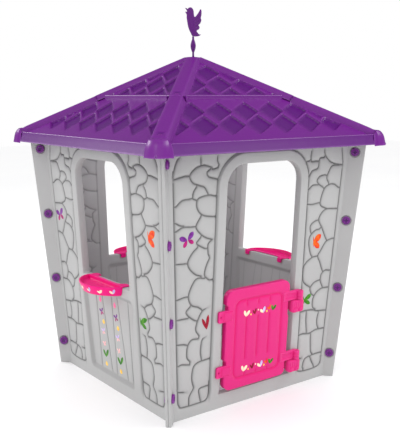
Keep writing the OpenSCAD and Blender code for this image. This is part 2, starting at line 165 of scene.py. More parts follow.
def polyline(points, step, closed=False):
    """Straight stretches between the points, sampled about every step."""
    p = [np.asarray(q, float) for q in points]
    if closed:
        p.append(p[0])
    parts = []
    for a, b in zip(p, p[1:]):
        n = max(1, round(np.linalg.norm(b - a) / step))
        parts.append(a + (b - a) * np.arange(n)[:, None] / n)
    if not closed:
        parts.append(p[-1][None])
    return np.vstack(parts)


def arc(centre, radius, start, end, step):
    """Points on an arc, angles in degrees."""
    n = max(2, round(abs(math.radians(end - start)) * radius / step) + 1)
    a = np.radians(np.linspace(start, end, n))
    return np.column_stack([centre[0] + radius * np.cos(a), centre[1] + radius * np.sin(a)])


def rounded_rect(x0, z0, x1, z1, r, step=3):
    """Closed outline of a rectangle with round corners."""
    corners = [(x1 - r, z0 + r, -90), (x1 - r, z1 - r, 0), (x0 + r, z1 - r, 90), (x0 + r, z0 + r, 180)]
    points = np.vstack([arc((x, z), r, a, a + 90, step) for x, z, a in corners])
    return polyline(points, step, closed=True)


def run_along(curve):
    """Length run at each point of a sampled curve."""
    return np.concatenate([[0], np.cumsum(np.linalg.norm(np.diff(curve, axis=0), axis=1))])


def directions(curve):
    """Unit vector along a sampled curve at each of its points."""
    along = np.gradient(curve, axis=0)
    return along / np.maximum(np.linalg.norm(along, axis=1, keepdims=True), 1e-9)


def offset_rows(line, offsets):
    """Rows of points beside a sampled line."""
    along = directions(line)
    across = np.column_stack([-along[:, 1], along[:, 0]])
    return [line + across * o for o in offsets]


def inside(points, outline):
    """Which points lie inside a closed outline."""
    x, y = points[:, 0], points[:, 1]
    hit = np.zeros(len(points), bool)
    for (x0, y0), (x1, y1) in zip(outline, np.roll(outline, -1, axis=0)):
        if y0 != y1:
            hit ^= ((y0 > y) != (y1 > y)) & (x < (x1 - x0) * (y - y0) / (y1 - y0) + x0)
    return hit


def inside_rect(p, rect):
    """Distance inside a rectangle (x0, z0, x1, z1), negative outside it."""
    x0, z0, x1, z1 = rect
    return np.minimum.reduce([p[:, 0] - x0, p[:, 1] - z0, x1 - p[:, 0], z1 - p[:, 1]])


def between(points, loops):
    """Which points lie inside the first loop and outside the others."""
    keep = inside(points, loops[0])
    for hole in loops[1:]:
        keep &= ~inside(points, hole)
    return keep


class Lines:
    """Sampled lines that answer how far points are from the nearest one."""

    def __init__(self, samples, strength=None):
        self.samples = np.asarray(samples, float)
        self.strength = np.ones(len(self.samples)) if strength is None else strength
        self.tree = KDTree(len(self.samples))
        for i, (x, y) in enumerate(self.samples):
            self.tree.insert((x, y, 0), i)
        self.tree.balance()

    def near(self, points):
        """Distance to the nearest sample, and the strength there."""
        found = [self.tree.find((x, y, 0))[1:] for x, y in points]
        index = [i for i, _ in found]
        return np.array([d for _, d in found]), self.strength[index]


def thin(points, gap, taken=()):
    """Drops points closer than gap to one kept before them."""
    cells = {}
    kept = []
    for k, (x, y) in enumerate([*taken, *points]):
        i, j = int(x // gap), int(y // gap)
        close = any((x - a) ** 2 + (y - b) ** 2 < gap * gap
                    for di in (-1, 0, 1) for dj in (-1, 0, 1)
                    for a, b in cells.get((i + di, j + dj), ()))
        if k < len(taken) or not close:
            cells.setdefault((i, j), []).append((x, y))
            if k >= len(taken):
                kept.append((x, y))
    return np.array(kept).reshape(-1, 2)


# ---------- closed forms: each is (points in mm, faces, shade) ----------

def slab(outline, holes, seeds, place, front, back, grid, fine=1.5):
    """Closed plate over a flat outline. front() and back() give each face's height and shade."""
    loops = [np.asarray(outline, float)] + [np.asarray(h, float) for h in holes]
    rim = np.vstack(loops)
    edges = []
    start = 0
    for loop in loops:
        n = len(loop)
        edges += [(start + i, start + (i + 1) % n) for i in range(n)]
        start += n
    lo, hi = loops[0].min(axis=0), loops[0].max(axis=0)
    columns, rows = np.arange(lo[0] + grid / 2, hi[0], grid), np.arange(lo[1] + grid / 2, hi[1], grid)
    fill = np.array([(x + (j % 2) * grid / 2, y) for j, y in enumerate(rows) for x in columns])
    seeds = np.vstack([np.empty((0, 2))] + [np.asarray(s, float).reshape(-1, 2) for s in seeds])
    near_rim = thin(seeds, fine, rim)
    filled = thin(fill.reshape(-1, 2), grid * 0.55, np.vstack([rim, near_rim]))
    inner = np.vstack([near_rim, filled])
    plan = np.vstack([rim, inner[between(inner, loops)]])
    found, _, triangles, *_ = delaunay_2d_cdt([Vector(p) for p in plan], edges, [], 0, 1e-4)
    points = np.array([tuple(v) for v in found])
    tri = np.array([t for t in triangles if len(t) == 3])
    tri = tri[between(points[tri].mean(axis=1), loops)]
    sides = {}
    for a, b, c in tri:
        for e in ((a, b), (b, c), (c, a)):
            sides[e] = sides.get(e, 0) + 1
    border = [e for e in sides if (e[1], e[0]) not in sides]
    n = len(points)
    out, out_shade = front(points)
    deep, deep_shade = back(points)
    faces = [tuple(t) for t in tri] + [tuple(t[::-1] + n) for t in tri]
    faces += [(b, a, a + n, b + n) for a, b in border]
    shade = np.concatenate([out_shade, deep_shade])
    return np.vstack([place(points, out), place(points, deep)]), faces, shade


def loft(rings, shade=None):
    """Closed skin over rings of points, with its two ends filled."""
    rings = np.asarray(rings, float)
    m, n = rings.shape[:2]
    faces = [(i * n + j, i * n + (j + 1) % n, (i + 1) * n + (j + 1) % n, (i + 1) * n + j)
             for i in range(m - 1) for j in range(n)]
    faces += [tuple(range(n))[::-1], tuple(range((m - 1) * n, m * n))]
    return rings.reshape(-1, 3), faces, np.zeros(m * n) if shade is None else np.asarray(shade).ravel()


def lathe(profile, turns=40):
    """Closed form turned from (radius, height) points, standing on the origin."""
    a = np.linspace(0, 2 * np.pi, turns, endpoint=False)
    return loft([np.column_stack([r * np.cos(a), r * np.sin(a), np.full(turns, z)]) for r, z in profile])


def moved(part, place):
    """Part with its points put through place."""
    points, faces, shade = part
    return place(points), faces, shade


def turned(part, side):
    """Part of the front side, turned to side number side."""
    a = math.radians(90 * side)
    spin = np.array([[math.cos(a), -math.sin(a), 0], [math.sin(a), math.cos(a), 0], [0, 0, 1]])
    return moved(part, lambda p: p @ spin.T)


def shaded_sides(part):
    """Part whose side faces, the only ones with four corners, take the second material, a darker copy that
    paints shade on the sides.
    """
    return (*part, [int(len(face) == 4) for face in part[1]])


def flipped(part):
    """Mirror image of a part in x."""
    return moved(part, lambda p: p * [-1, 1, 1])


def edge_drop(distance, radius):
    """How far a rounded edge falls at a distance from it."""
    t = np.clip(radius - distance, 0, radius)
    return radius - np.sqrt(radius * radius - t * t)


def flat(p):
    """Relief of a plain face: no height and no shade."""
    return 0, np.zeros(len(p))


def plate(outline, holes, place, front_at, back_at, radius, relief=flat, seeds=(), grid=6, fine=1.2,
          behind=flat):
    """Slab with rounded edges; relief(points) and behind(points) add height and shade to its faces."""
    rim = Lines(np.vstack([polyline(o, 1, closed=True) for o in [outline, *holes]]))
    loops = [np.asarray(o, float) for o in [outline, *holes]]
    rows = [row for loop in loops for row in offset_rows(
        np.vstack([loop, loop[:1]]), [s * radius * f for s in (-1, 1) for f in (0.12, 0.4, 0.75, 1.1)])]

    def front(p):
        height, shade = relief(p)
        return front_at + height - edge_drop(rim.near(p)[0], radius), shade

    def back(p):
        height, shade = behind(p)
        return back_at - height + edge_drop(rim.near(p)[0], radius), shade

    return slab(outline, holes, [*rows, *seeds], place, front, back, grid, fine)


# ---------- places ----------

def on_wall(points, out):
    """Points (u along, up) of the front wall, a distance out from its leaning face."""
    u, up = points[:, 0], points[:, 1]
    y = -BASE_HALF - out * COS_LEAN - up * SIN_LEAN
    return np.column_stack([u, y, np.maximum(up * COS_LEAN - out * SIN_LEAN, 0)])


def wall_frame(p):
    """Points (u, out, up) as an array, to the front wall."""
    return on_wall(p[:, [0, 2]], p[:, 1])


def on_axis(part, up):
    """Turned part, stood on the door's hinge line with its origin at height up."""
    return moved(part, lambda p: wall_frame(p + [AXIS_X, AXIS_OUT, up]))


def at_corner(p, corner):
    """Points (radius, across, z) at a corner, counted from front right."""
    a = math.radians(-45 + 90 * corner)
    c, s = math.cos(a), math.sin(a)
    return np.column_stack([p[:, 0] * c - p[:, 1] * s, p[:, 0] * s + p[:, 1] * c, p[:, 2]])


# ---------- materials ----------

def srgb(r, g, b):
    """Linear colour of an 8-bit screen colour."""
    values = [v / 255 for v in (r, g, b)]
    return [v / 12.92 if v <= 0.04045 else ((v + 0.055) / 1.055) ** 2.4 for v in values] + [1]


class Nodes:
    """Short way to add and link material nodes."""

    def __init__(self, name):
        self.material = bpy.data.materials.new(name)
        self.material.use_nodes = True
        self.tree = self.material.node_tree
        self.shader = self.tree.nodes["Principled BSDF"]

    def add(self, kind, **inputs):
        node = self.tree.nodes.new("ShaderNode" + kind)
        for key, value in inputs.items():
            name = key.replace("_", " ")
            if isinstance(value, bpy.types.NodeSocket):
                self.tree.links.new(value, node.inputs[name])
            else:
                node.inputs[name].default_value = value
        return node

    def ramp(self, fac, low, high, a, b):
        """Linear change from a to b as fac goes from low to high."""
        node = self.tree.nodes.new("ShaderNodeMapRange")
        self.tree.links.new(fac, node.inputs["Value"])
        for key, value in (("From Min", low), ("From Max", high), ("To Min", a), ("To Max", b)):
            node.inputs[key].default_value = value
        return node.outputs["Result"]

    def mix(self, fac, a, b, blend="MIX"):
        """Colour between a and b, either of them a colour or a socket."""
        node = self.tree.nodes.new("ShaderNodeMix")
        node.data_type = "RGBA"
        node.blend_type = blend
        colour_in = [s for s in node.inputs if s.type == "RGBA"]
        for socket, value in ((node.inputs["Factor"], fac), (colour_in[0], a), (colour_in[1], b)):
            if isinstance(value, bpy.types.NodeSocket):
                self.tree.links.new(value, socket)
            else:
                socket.default_value = value
        return next(s for s in node.outputs if s.type == "RGBA")

    def link(self, output, name):
        self.tree.links.new(output, self.shader.inputs[name])


def moulded_plastic(name, face, deep, roughness, wear_and_highlight=None, specular=0.5):
    """Moulded plastic: painted shade in recesses, cloudy tone, fine grain, scuffs, and paler edges that are
    partly wear and partly painted highlight.
    """
    n = Nodes(name)
    where = n.add("TexCoord").outputs["Object"]
    shade = n.add("Attribute")
    shade.attribute_name = "shade"
    cloud = n.add("TexNoise", Vector=where, Scale=3.5, Detail=4.0).outputs["Fac"]
    speck = n.add("TexNoise", Vector=where, Scale=160.0, Detail=3.0).outputs["Fac"]
    # Painted shade: the shade attribute darkens the face colour towards deep in grooves, recesses and
    # dimples.
    colour = n.mix(shade.outputs["Fac"], face, deep)
    tone = n.add("CombineColor", Red=1.0)
    level = n.ramp(cloud, 0.3, 0.7, 0.965, 1.02)
    for channel in ("Red", "Green", "Blue"):
        n.tree.links.new(level, tone.inputs[channel])
    colour = n.mix(1.0, colour, tone.outputs["Color"], "MULTIPLY")
    # Paler convex edges: partly wear, partly a painted highlight along ridges and rims.
    edge = n.ramp(n.add("NewGeometry").outputs["Pointiness"], 0.52, 0.6, 0.0, 0.55)
    colour = n.mix(edge, colour, wear_and_highlight or face)
    n.link(colour, "Base Color")
    streak = n.add("TexNoise", Vector=n.add("Mapping", Vector=where, Scale=(40, 40, 4)).outputs[0],
                   Scale=3.0, Detail=5.0).outputs["Fac"]
    n.link(n.ramp(streak, 0.3, 0.75, roughness - 0.05, roughness + 0.09), "Roughness")
    bump = n.add("Bump", Height=speck, Strength=0.12, Distance=0.0004)
    n.link(bump.outputs["Normal"], "Normal")
    n.shader.inputs["Specular IOR Level"].default_value = specular
    return n.material


def sticker_film(name, colour, second):
    """Printed film with a soft change of colour and a slight gloss."""
    n = Nodes(name)
    where = n.add("TexCoord").outputs["Object"]
    cloud = n.add("TexNoise", Vector=where, Scale=55.0, Detail=2.0).outputs["Fac"]
    n.link(n.mix(n.ramp(cloud, 0.38, 0.62, 0.0, 1.0), colour, second), "Base Color")
    dots = n.add("TexNoise", Vector=where, Scale=900.0).outputs["Fac"]
    n.link(n.ramp(dots, 0.3, 0.7, 0.3, 0.4), "Roughness")
    n.link(n.add("Bump", Height=dots, Strength=0.08, Distance=0.0002).outputs["Normal"], "Normal")
    n.shader.inputs["Specular IOR Level"].default_value = 0.2
    return n.material


WALL = moulded_plastic("wall_grey", srgb(178, 178, 178), srgb(104, 104, 104), 0.5)
# The roof's paler edge colour is mostly a painted highlight along the lozenge ridges and the rims.
ROOF = moulded_plastic("roof_purple", srgb(108, 22, 132), srgb(88, 10, 115), 0.34,
                       wear_and_highlight=srgb(156, 92, 178), specular=0.4)
DOOR = moulded_plastic("door_pink", srgb(222, 30, 124), srgb(224, 0, 112), 0.38,
                       wear_and_highlight=srgb(236, 80, 156), specular=0.3)
# Darker copy of the door pink: painted shade for the side faces of the leaf and the lugs.
DOOR_SIDE_SHADE = moulded_plastic("door_pink_side_shade", srgb(212, 0, 112), srgb(180, 0, 90), 0.38,
                            wear_and_highlight=srgb(226, 20, 130))
TRAY = moulded_plastic("tray_pink", srgb(238, 0, 124), srgb(232, 0, 118), 0.36,
                       wear_and_highlight=srgb(255, 50, 160), specular=0.25)
BOLT = moulded_plastic("bolt_purple", srgb(116, 24, 134), srgb(64, 8, 90), 0.35,
                       wear_and_highlight=srgb(160, 70, 175))
VANE = moulded_plastic("vane_purple", srgb(90, 18, 114), srgb(70, 8, 92), 0.35,
                       wear_and_highlight=srgb(120, 58, 144), specular=0.3)


# ---------- objects ----------

def make(name, parts, materials, body, nodes=()):
    """Object of closed parts; a part's fourth entry says which material it or each face has."""
    points, faces, shades, kinds = [], [], [], []
    start = 0
    for part in parts:
        p, f, s = part[:3]
        points.append(p)
        shades.append(s)
        faces += [tuple(int(i) + start for i in face) for face in f]
        kind = part[3] if len(part) > 3 else 0
        kinds += kind if isinstance(kind, list) else [kind] * len(f)
        start += len(p)
    mesh = bpy.data.meshes.new(name)
    mesh.from_pydata((np.vstack(points) * MM).tolist(), [], faces)
    mesh.attributes.new("shade", "FLOAT", "POINT").data.foreach_set(
        "value", np.clip(np.concatenate(shades), 0, 1).astype(np.float32))
    for material in materials:
        mesh.materials.append(material)
    mesh.polygons.foreach_set("material_index", kinds)
    work = bmesh.new()
    work.from_mesh(mesh)
    bmesh.ops.recalc_face_normals(work, faces=work.faces)
    work.to_mesh(mesh)
    work.free()
    mesh.shade_smooth()
    mesh.set_sharp_from_angle(angle=math.radians(42))
    piece = bpy.data.objects.new(name, mesh)
    bpy.context.scene.collection.objects.link(piece)
    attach(piece, body)
    if nodes:
        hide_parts(*nodes)
    return piece


def make_window_sides(name_end, parts, materials, node_start=None):
    """Pieces drawn at the front, made for the three walls with a window."""
    for side, name in enumerate(SIDES[1:], 1):
        sides = [(*turned(part[:3], side), *part[3:]) for part in parts]
        make(f"{name}_{name_end}", sides, materials, "house",
             [node_start + name] if node_start else [])


# ---------- stone pattern: grooves as (distance from the wall's middle, height) ----------

FIELD_A = [
    [(226, 120), (227, 70), (240, 50), (300, 45), (345, 50), (360, 66), (364, 100), (385, 480),
     (406, 860), (408, 900), (396, 960)],
    [(404, 888), (360, 895), (330, 908), (304, 935), (300, 960)],
    [(388, 888), (350, 887), (332, 865), (323, 840), (334, 821)],
    [(393, 797), (367, 812), (340, 813), (313, 798), (297, 757), (300, 732), (338, 715)],
    [(385, 712), (330, 714), (302, 695), (295, 672), (317, 638), (335, 605), (343, 593)],
    [(295, 675), (270, 670), (250, 655), (253, 630)],
    [(373, 590), (343, 580), (317, 548), (303, 527), (317, 500), (327, 477), (338, 457)],
    [(303, 527), (273, 525), (240, 508), (226, 485), (228, 440), (243, 420), (270, 403)],
    [(300, 636), (277, 633), (252, 613), (248, 583), (260, 543), (267, 533)],
    [(298, 922), (277, 918), (270, 883), (240, 872), (226, 853)],
    [(232, 958), (228, 930), (230, 917)],
    [(257, 910), (233, 908)],
    [(220, 912), (207, 908), (217, 880)],
    [(310, 853), (283, 848), (270, 832), (283, 817), (300, 808)],
    [(278, 816), (247, 815), (227, 800)],
    [(283, 743), (250, 740), (227, 743)],
    [(373, 458), (350, 461), (330, 447), (328, 420), (342, 393)],
    [(315, 424), (290, 417), (272, 398), (280, 373)],
    [(367, 387), (337, 387), (310, 375), (292, 350), (293, 317), (310, 303)],
    [(360, 290), (318, 295), (295, 303), (257, 307), (227, 305)],
    [(330, 288), (324, 260), (326, 235), (335, 217)],
    [(260, 297), (261, 263), (268, 215)],
    [(353, 213), (317, 213), (285, 205), (243, 210), (227, 207)],
    [(293, 203), (295, 165), (300, 125), (310, 110)],
    [(347, 108), (303, 105), (302, 92), (323, 55)],
    [(290, 105), (267, 95), (258, 67), (263, 57)],
    [(247, 105), (233, 108)],
]
FIELD_B = [
    [(222, 120), (223, 75), (233, 52), (250, 46), (340, 46), (357, 57), (363, 80), (366, 130),
     (387, 500), (408, 870), (408, 903), (397, 940), (383, 958)],
    [(223, 958), (225, 940), (217, 922)],
    [(297, 958), (295, 930)],
    [(248, 915), (283, 924), (317, 915), (340, 892), (328, 867), (300, 855), (277, 847), (260, 823)],
    [(222, 912), (243, 907)],
    [(253, 909), (268, 898), (260, 883), (237, 876)],
    [(310, 852), (323, 833), (325, 812), (317, 807)],
    [(230, 813), (258, 818), (300, 810), (308, 788), (297, 763), (273, 747), (235, 740)],
    [(290, 743), (307, 712), (290, 687), (263, 668), (233, 658)],
    [(340, 810), (370, 807), (395, 788)],
    [(395, 732), (373, 721), (360, 719)],
    [(327, 712), (363, 714), (390, 703)],
    [(360, 891), (400, 883)],
    [(287, 670), (302, 653), (287, 640), (263, 628)],
    [(238, 655), (252, 642), (250, 610), (245, 600)],
    [(300, 635), (320, 618), (337, 590), (330, 565), (303, 540), (277, 530)],
    [(243, 592), (257, 563), (263, 533), (247, 515), (238, 510)],
    [(262, 520), (293, 524), (313, 507), (330, 465), (317, 431), (287, 417), (273, 408)],
    [(358, 585), (385, 587)],
    [(350, 463), (377, 458)],
    [(247, 408), (267, 398), (283, 373), (293, 335), (277, 308)],
    [(323, 423), (338, 407), (323, 387), (300, 370)],
    [(330, 383), (373, 384)],
    [(247, 298), (263, 288), (268, 247), (263, 217)],
    [(280, 297), (310, 298), (327, 277), (328, 237), (313, 217)],
    [(343, 288), (372, 292)],
    [(233, 210), (273, 207), (297, 193), (303, 150), (293, 112)],
    [(315, 205), (350, 213), (363, 210)],
    [(240, 105), (268, 100), (266, 75), (260, 53)],
    [(297, 105), (312, 80), (313, 53)],
    [(330, 103), (362, 110)],
]
# Joints between the slanting planks under a window, at their top and bottom
PLANK_JOINTS = [(-103, -96), (-57, -14), (18, 24), (61, 104), (140, 143)]
PLANK_TOP, PLANK_BOTTOM = 391, 70
PLANK_HALF_TOP, PLANK_HALF_BOTTOM = 172, 148
PLANK_BEVEL = 20
PLANK_DEPTH = 12
# How far a groove runs on to meet the next one
REACH = 24
GROOVE_DEPTH = 3.6
GROOVE_W = 3.2


def arch_gap(p):
    """Distance outside the sides and the round top of an opening."""
    u, z = np.abs(p[:, 0]), p[:, 1]
    qx, qz = u - OPEN_HALF + OPEN_R, z - OPEN_TOP + OPEN_R
    corner = np.hypot(np.maximum(qx, 0), np.maximum(qz, 0)) - OPEN_R
    return np.where((qx > 0) & (qz > 0), corner, np.maximum(u - OPEN_HALF, z - OPEN_TOP))


def arch_line(offset, foot, step):
    """Line round the sides and top of an opening, offset outwards, from height foot up."""
    half, top, r = OPEN_HALF + offset, OPEN_TOP + offset, OPEN_R + offset
    right = arc((half - r, top - r), r, 0, 90, step)
    left = arc((r - half, top - r), r, 90, 180, step)
    return polyline(np.vstack([[half, foot], right, left, [-half, foot]]), step)


def opening_outline(foot, step):
    """Closed outline of an opening that starts at height foot."""
    return polyline(arch_line(0, foot, step), step, closed=True)


class Stones:
    """Grooves of one wall. Ends run on to the next groove, or fade out where none is near."""

    def __init__(self, left, right):
        lines = [[(-d, z) for d, z in line] for line in left] + [list(line) for line in right]
        curves = [spline(line, 1.0) for line in lines]
        casing = arch_line(CASING_W, 60, 1.0)
        joined, strengths = [], []
        for k, curve in enumerate(curves):
            others = np.vstack([c for j, c in enumerate(curves) if j != k] + [casing])
            free = []
            for end in (0, -1):
                away = np.linalg.norm(others - curve[end], axis=1)
                free.append(away.min() > REACH)
                if 1 < away.min() <= REACH:
                    stretch = polyline([curve[end], others[away.argmin()]], 1)
                    curve = np.vstack([stretch[:0:-1], curve] if end == 0 else [curve, stretch[1:]])
            run = run_along(curve)
            strength = np.ones(len(curve))
            for loose, along in zip(free, (run, run[-1] - run)):
                if loose:
                    strength = np.minimum(strength, 0.35 + 0.65 * smooth(along / 12))
            joined.append(curve)
            strengths.append(strength)
        self.near = Lines(np.vstack(joined), np.concatenate(strengths)).near
        self.seeds = [row for curve in joined
                      for row in offset_rows(curve[::4], [0, -2.2, 2.2, -4.6, 4.6, -8.5, 8.5])]


def plank_gap(p):
    """Distance inside the floor of the plank recess, negative on its bevels."""
    u, z = np.abs(p[:, 0]), p[:, 1]
    part = (PLANK_TOP - z) / (PLANK_TOP - PLANK_BOTTOM)
    side = PLANK_HALF_TOP + (PLANK_HALF_BOTTOM - PLANK_HALF_TOP) * part - u
    end = np.minimum(PLANK_TOP - z, z - PLANK_BOTTOM)
    outside = -np.hypot(np.minimum(side, 0), np.minimum(end, 0))
    return np.where((side > 0) & (end > 0), np.minimum(side, end), outside)


def plank_grooves(p):
    """Nearness to a joint between planks, 0 to 1."""
    part = (PLANK_TOP - p[:, 1]) / (PLANK_TOP - PLANK_BOTTOM)
    near = np.zeros(len(p))
    for top, bottom in PLANK_JOINTS:
        near = np.maximum(near, bell((p[:, 0] - top - (bottom - top) * part) / 2.2))
    return near * smooth(plank_gap(p) / 3 + 1)


def wall_relief(p, stones, window):
    """Height of a wall's outer face over its plane, and its shade."""
    gap = arch_gap(p)
    if not window:
        gap = np.maximum(gap, (THRESHOLD_Z - p[:, 1]) * 1.26)
    distance, strength = stones.near(p)
    field = smooth((gap - CASING_W) / 4) * smooth((FIELD_OUTER + FIELD_RISE * p[:, 1] - np.abs(p[:, 0])) / 4)
    field *= smooth((p[:, 1] - FIELD_FOOT) / 4)
    open_wall = smooth((gap - CASING_W + 3) / 3)
    groove = strength * (GROOVE_DEPTH * bell(distance / GROOVE_W) + 0.7 * bell(distance / 8)) * open_wall
    fade = smooth((p[:, 1] - 28) / 60)
    casing = CASING_UP * (1 - smooth((gap - 36) / 6)) * fade
    foot = bell((gap - CASING_W - 1.5) / 4.2) * fade
    height = casing - groove + 1.5 * field * (1 - bell(distance / 11)) - 2.6 * foot
    shade = np.maximum(strength * bell(distance / 3.0) * open_wall, 0.9 * foot)
    shade += 0.1 * bell(distance / 9) * field
    if window:
        inner = plank_gap(p)
        drop = smooth((inner + PLANK_BEVEL) / PLANK_BEVEL)
        joint = plank_grooves(p)
        height -= PLANK_DEPTH * drop + 2.4 * joint
        slope = smooth((inner + PLANK_BEVEL + 3) / 6) * (1 - smooth((inner + 4) / 5))
        shade = np.maximum(shade, np.maximum(0.3 * slope, 0.75 * joint))
    return height, shade


def rounded_hole(p, foot):
    """Distance from the edge of the opening, for rounding it over."""
    return np.hypot(np.maximum(arch_gap(p), 0), np.maximum(foot - p[:, 1], 0))


def wall_slab(stones, window):
    """One wall with its opening, drawn at the front."""
    foot = LEDGE_Z if window else THRESHOLD_Z
    top = WALL_TOP
    corner = BASE_HALF + SIN_LEAN * top
    outline = polyline([(-BASE_HALF, 0), (BASE_HALF, 0), (corner, top), (-corner, top)], 12, closed=True)
    seeds = [arch_line(d, foot, 6) for d in (0.5, 1.6, 3, 5)]
    seeds += [polyline([(-OPEN_HALF, foot - d), (OPEN_HALF, foot - d)], 6) for d in (0.5, 1.6, 3, 5)]
    seeds += [arch_line(CASING_W + d, 30, 6) for d in (-8, -6, -3.5, -1, 1.5, 4, 7)]
    seeds += stones.seeds
    if window:
        seeds += plank_seeds()

    def front(p):
        height, shade = wall_relief(p, stones, window)
        return height - edge_drop(rounded_hole(p, foot), 4), shade

    def back(p):
        height, shade = wall_relief(p, stones, window)
        gap = smooth((arch_gap(p) - CASING_W) / 4)
        panel = 9 * smooth((plank_gap(p) + PLANK_BEVEL) / PLANK_BEVEL) if window else 0
        return -WALL_T + panel - 0.7 * height * gap + edge_drop(rounded_hole(p, foot), 4), 0.45 * shade

    def place(p, out):
        """On the wall, with the inner face drawn in at the corners as a mitre."""
        p = p.copy()
        limit = BASE_HALF + SIN_LEAN * p[:, 1]
        near_corner = np.clip((np.abs(p[:, 0]) - limit + 60) / 60, 0, 1)
        behind = np.clip(-out / WALL_T, 0, 1)
        p[:, 0] -= np.sign(p[:, 0]) * WALL_T * COS_LEAN * near_corner * (out < -WALL_T / 2) * behind
        return on_wall(p, out)

    return slab(outline, [opening_outline(foot, 6)], seeds, place, front, back, 12)


def plank_seeds():
    """Rows of points along the plank joints and the recess's bevels."""
    seeds = []
    for top, bottom in PLANK_JOINTS:
        line = polyline([(top, PLANK_TOP), (bottom, PLANK_BOTTOM)], 9)
        seeds += offset_rows(line, [0, -1.8, 1.8, -4, 4])
    for d in (-PLANK_BEVEL - 2, -PLANK_BEVEL, -15, -10, -5, 0, 2):
        corners = [(-PLANK_HALF_TOP + d, PLANK_TOP - d), (-PLANK_HALF_BOTTOM + d, PLANK_BOTTOM + d),
                   (PLANK_HALF_BOTTOM - d, PLANK_BOTTOM + d), (PLANK_HALF_TOP - d, PLANK_TOP - d)]
        seeds.append(polyline(corners, 8, closed=True))
    return seeds


def fin_plate():
    """Right-hand flange of the front wall, with a recess round each bolt."""
    top, root_top = FIN_TOP, FIN_ROOT_TOP
    outline = polyline([(FIN_ROOT, 0), (FIN_EDGE, 0), (FIN_EDGE + FIN_EDGE_LEAN * top, top),
                        (FIN_SHOULDER, root_top), (FIN_ROOT + FIN_ROOT_LEAN * root_top, root_top)],
                       9, closed=True)
    centres = [(bolt_radius(z), z) for z in BOLT_Z]
    seeds = [arc(c, r, 0, 360, 3) for c in centres for r in (8, 13, 18, 19, 20, 21, 22, 24)]

    def relief(p):
        height = np.zeros(len(p))
        shade = np.zeros(len(p))
        for c in centres:
            distance = np.hypot(p[:, 0] - c[0], p[:, 1] - c[1])
            height -= RECESS_D * (1 - smooth((distance - RECESS_R + 1.5) / 3))
            shade = np.maximum(shade, 0.7 * bell((distance - 18.6) / 2.0))
        return height, shade

    def place(p, out):
        return at_corner(np.column_stack([p[:, 0], -out, p[:, 1]]), 0)

    return plate(outline, [], place, FIN_T, 0.2, 2.5, relief, seeds, grid=14, fine=1.6)


def make_walls():
    """The four walls with their fins; returns the stone patterns for the stickers."""
    window = Stones(FIELD_A, FIELD_B)
    door = Stones(FIELD_B, FIELD_A)
    fin = fin_plate()
    fins = [fin, flipped(fin)]
    window_parts = [wall_slab(window, True), *fins]
    for side, name in enumerate(SIDES):
        parts = window_parts if side else [wall_slab(door, False), *fins]
        make(f"{name}_wall_shell", [turned(p, side) for p in parts], [WALL], "house",
             [f"wall_{name}"])
    return window, door


WINDOW_STONES, DOOR_STONES = make_walls()


# ---------- corner bolts and nuts ----------

RIM_GROOVE_R = 12.4


def knob(outer, cross, high):
    """Head of a bolt or nut: a low dome with a rim groove and a cross or round recess."""
    outline = arc((0, 0), outer, 0, 360, 2)[:-1]
    seeds = [arc((0, 0), r, 0, 360, 1.6)[:-1] for r in (3, 6, 9, 11, 12.2, 13.4, 14.6)]

    def relief(p):
        r = np.hypot(p[:, 0], p[:, 1])
        dome = -1.4 * (r / outer) ** 2 - 0.9 * bell((r - RIM_GROOVE_R) / 1.2)
        if cross:
            arm = np.minimum(np.abs(p[:, 0]), np.abs(p[:, 1]))
            cut = (1 - smooth((arm - 1.6) / 1.2)) * (1 - smooth((r - 8) / 1.5))
        else:
            cut = 1 - smooth((r - 7) / 1.4)
        return dome - 2.6 * cut, np.maximum(0.8 * cut, 0.5 * bell((r - RIM_GROOVE_R) / 1.6))

    return plate(outline, [], lambda p, out: np.column_stack([p, out]), high, 0, 2, relief,
                 seeds, grid=2, fine=0.9)


def make_bolts():
    """Bolts on one side of each corner's fins, nuts on the other."""
    seat = FIN_T - RECESS_D
    for cross, sign, name in ((True, -1, "corner_bolts"), (False, 1, "corner_nuts")):
        head = knob(HEAD_R, cross, HEAD_H if cross else NUT_H)
        shank = lathe([(5.9, -seat - 3), (5.9, seat + 1)])
        parts = []
        for corner in range(4):
            for z in BOLT_Z:
                def place(p, corner=corner, z=z):
                    across = sign * (seat + p[:, 2])
                    return at_corner(np.column_stack([p[:, 0] + bolt_radius(z), across, p[:, 1] + z]),
                                     corner)
                parts.append(moved(head, place))
                if cross:
                    parts.append(moved(shank, lambda p, place=place: place(p - [0, 0, seat])))
        make(name + "_moulded", parts, [BOLT], "house", [name])


make_bolts()


# ---------- roof ----------

# Lozenge recesses: pitch along the eave and up the slope, the first middle, and the two edges of one
LOZENGE_PITCH = 124.5
LOZENGE_RISE = 78
LOZENGE_START = (-26, 353)
LOZENGE_SHORT = np.array([22, 64])
LOZENGE_LONG = np.array([-115, 60])
LOZENGE_DEPTH = 9
# Widths of the walls of one: its steep end, its long slow end, and its low and high edges
LOZENGE_STEEP, LOZENGE_SLOW = 6, 50
LOZENGE_LOW, LOZENGE_HIGH = 8, 7
# Lengths that the inset of a row of seeds is measured against
LOZENGE_SPANS = (113, 59)


def lozenge_centres(rows, reach):
    """Middles of the lozenges in the given rows, as far out as reach."""
    return [(LOZENGE_START[0] + LOZENGE_PITCH * k, LOZENGE_START[1] + LOZENGE_RISE * j)
            for j in rows for k in range(-4, 6)
            if abs(LOZENGE_START[0] + LOZENGE_PITCH * k) < reach]


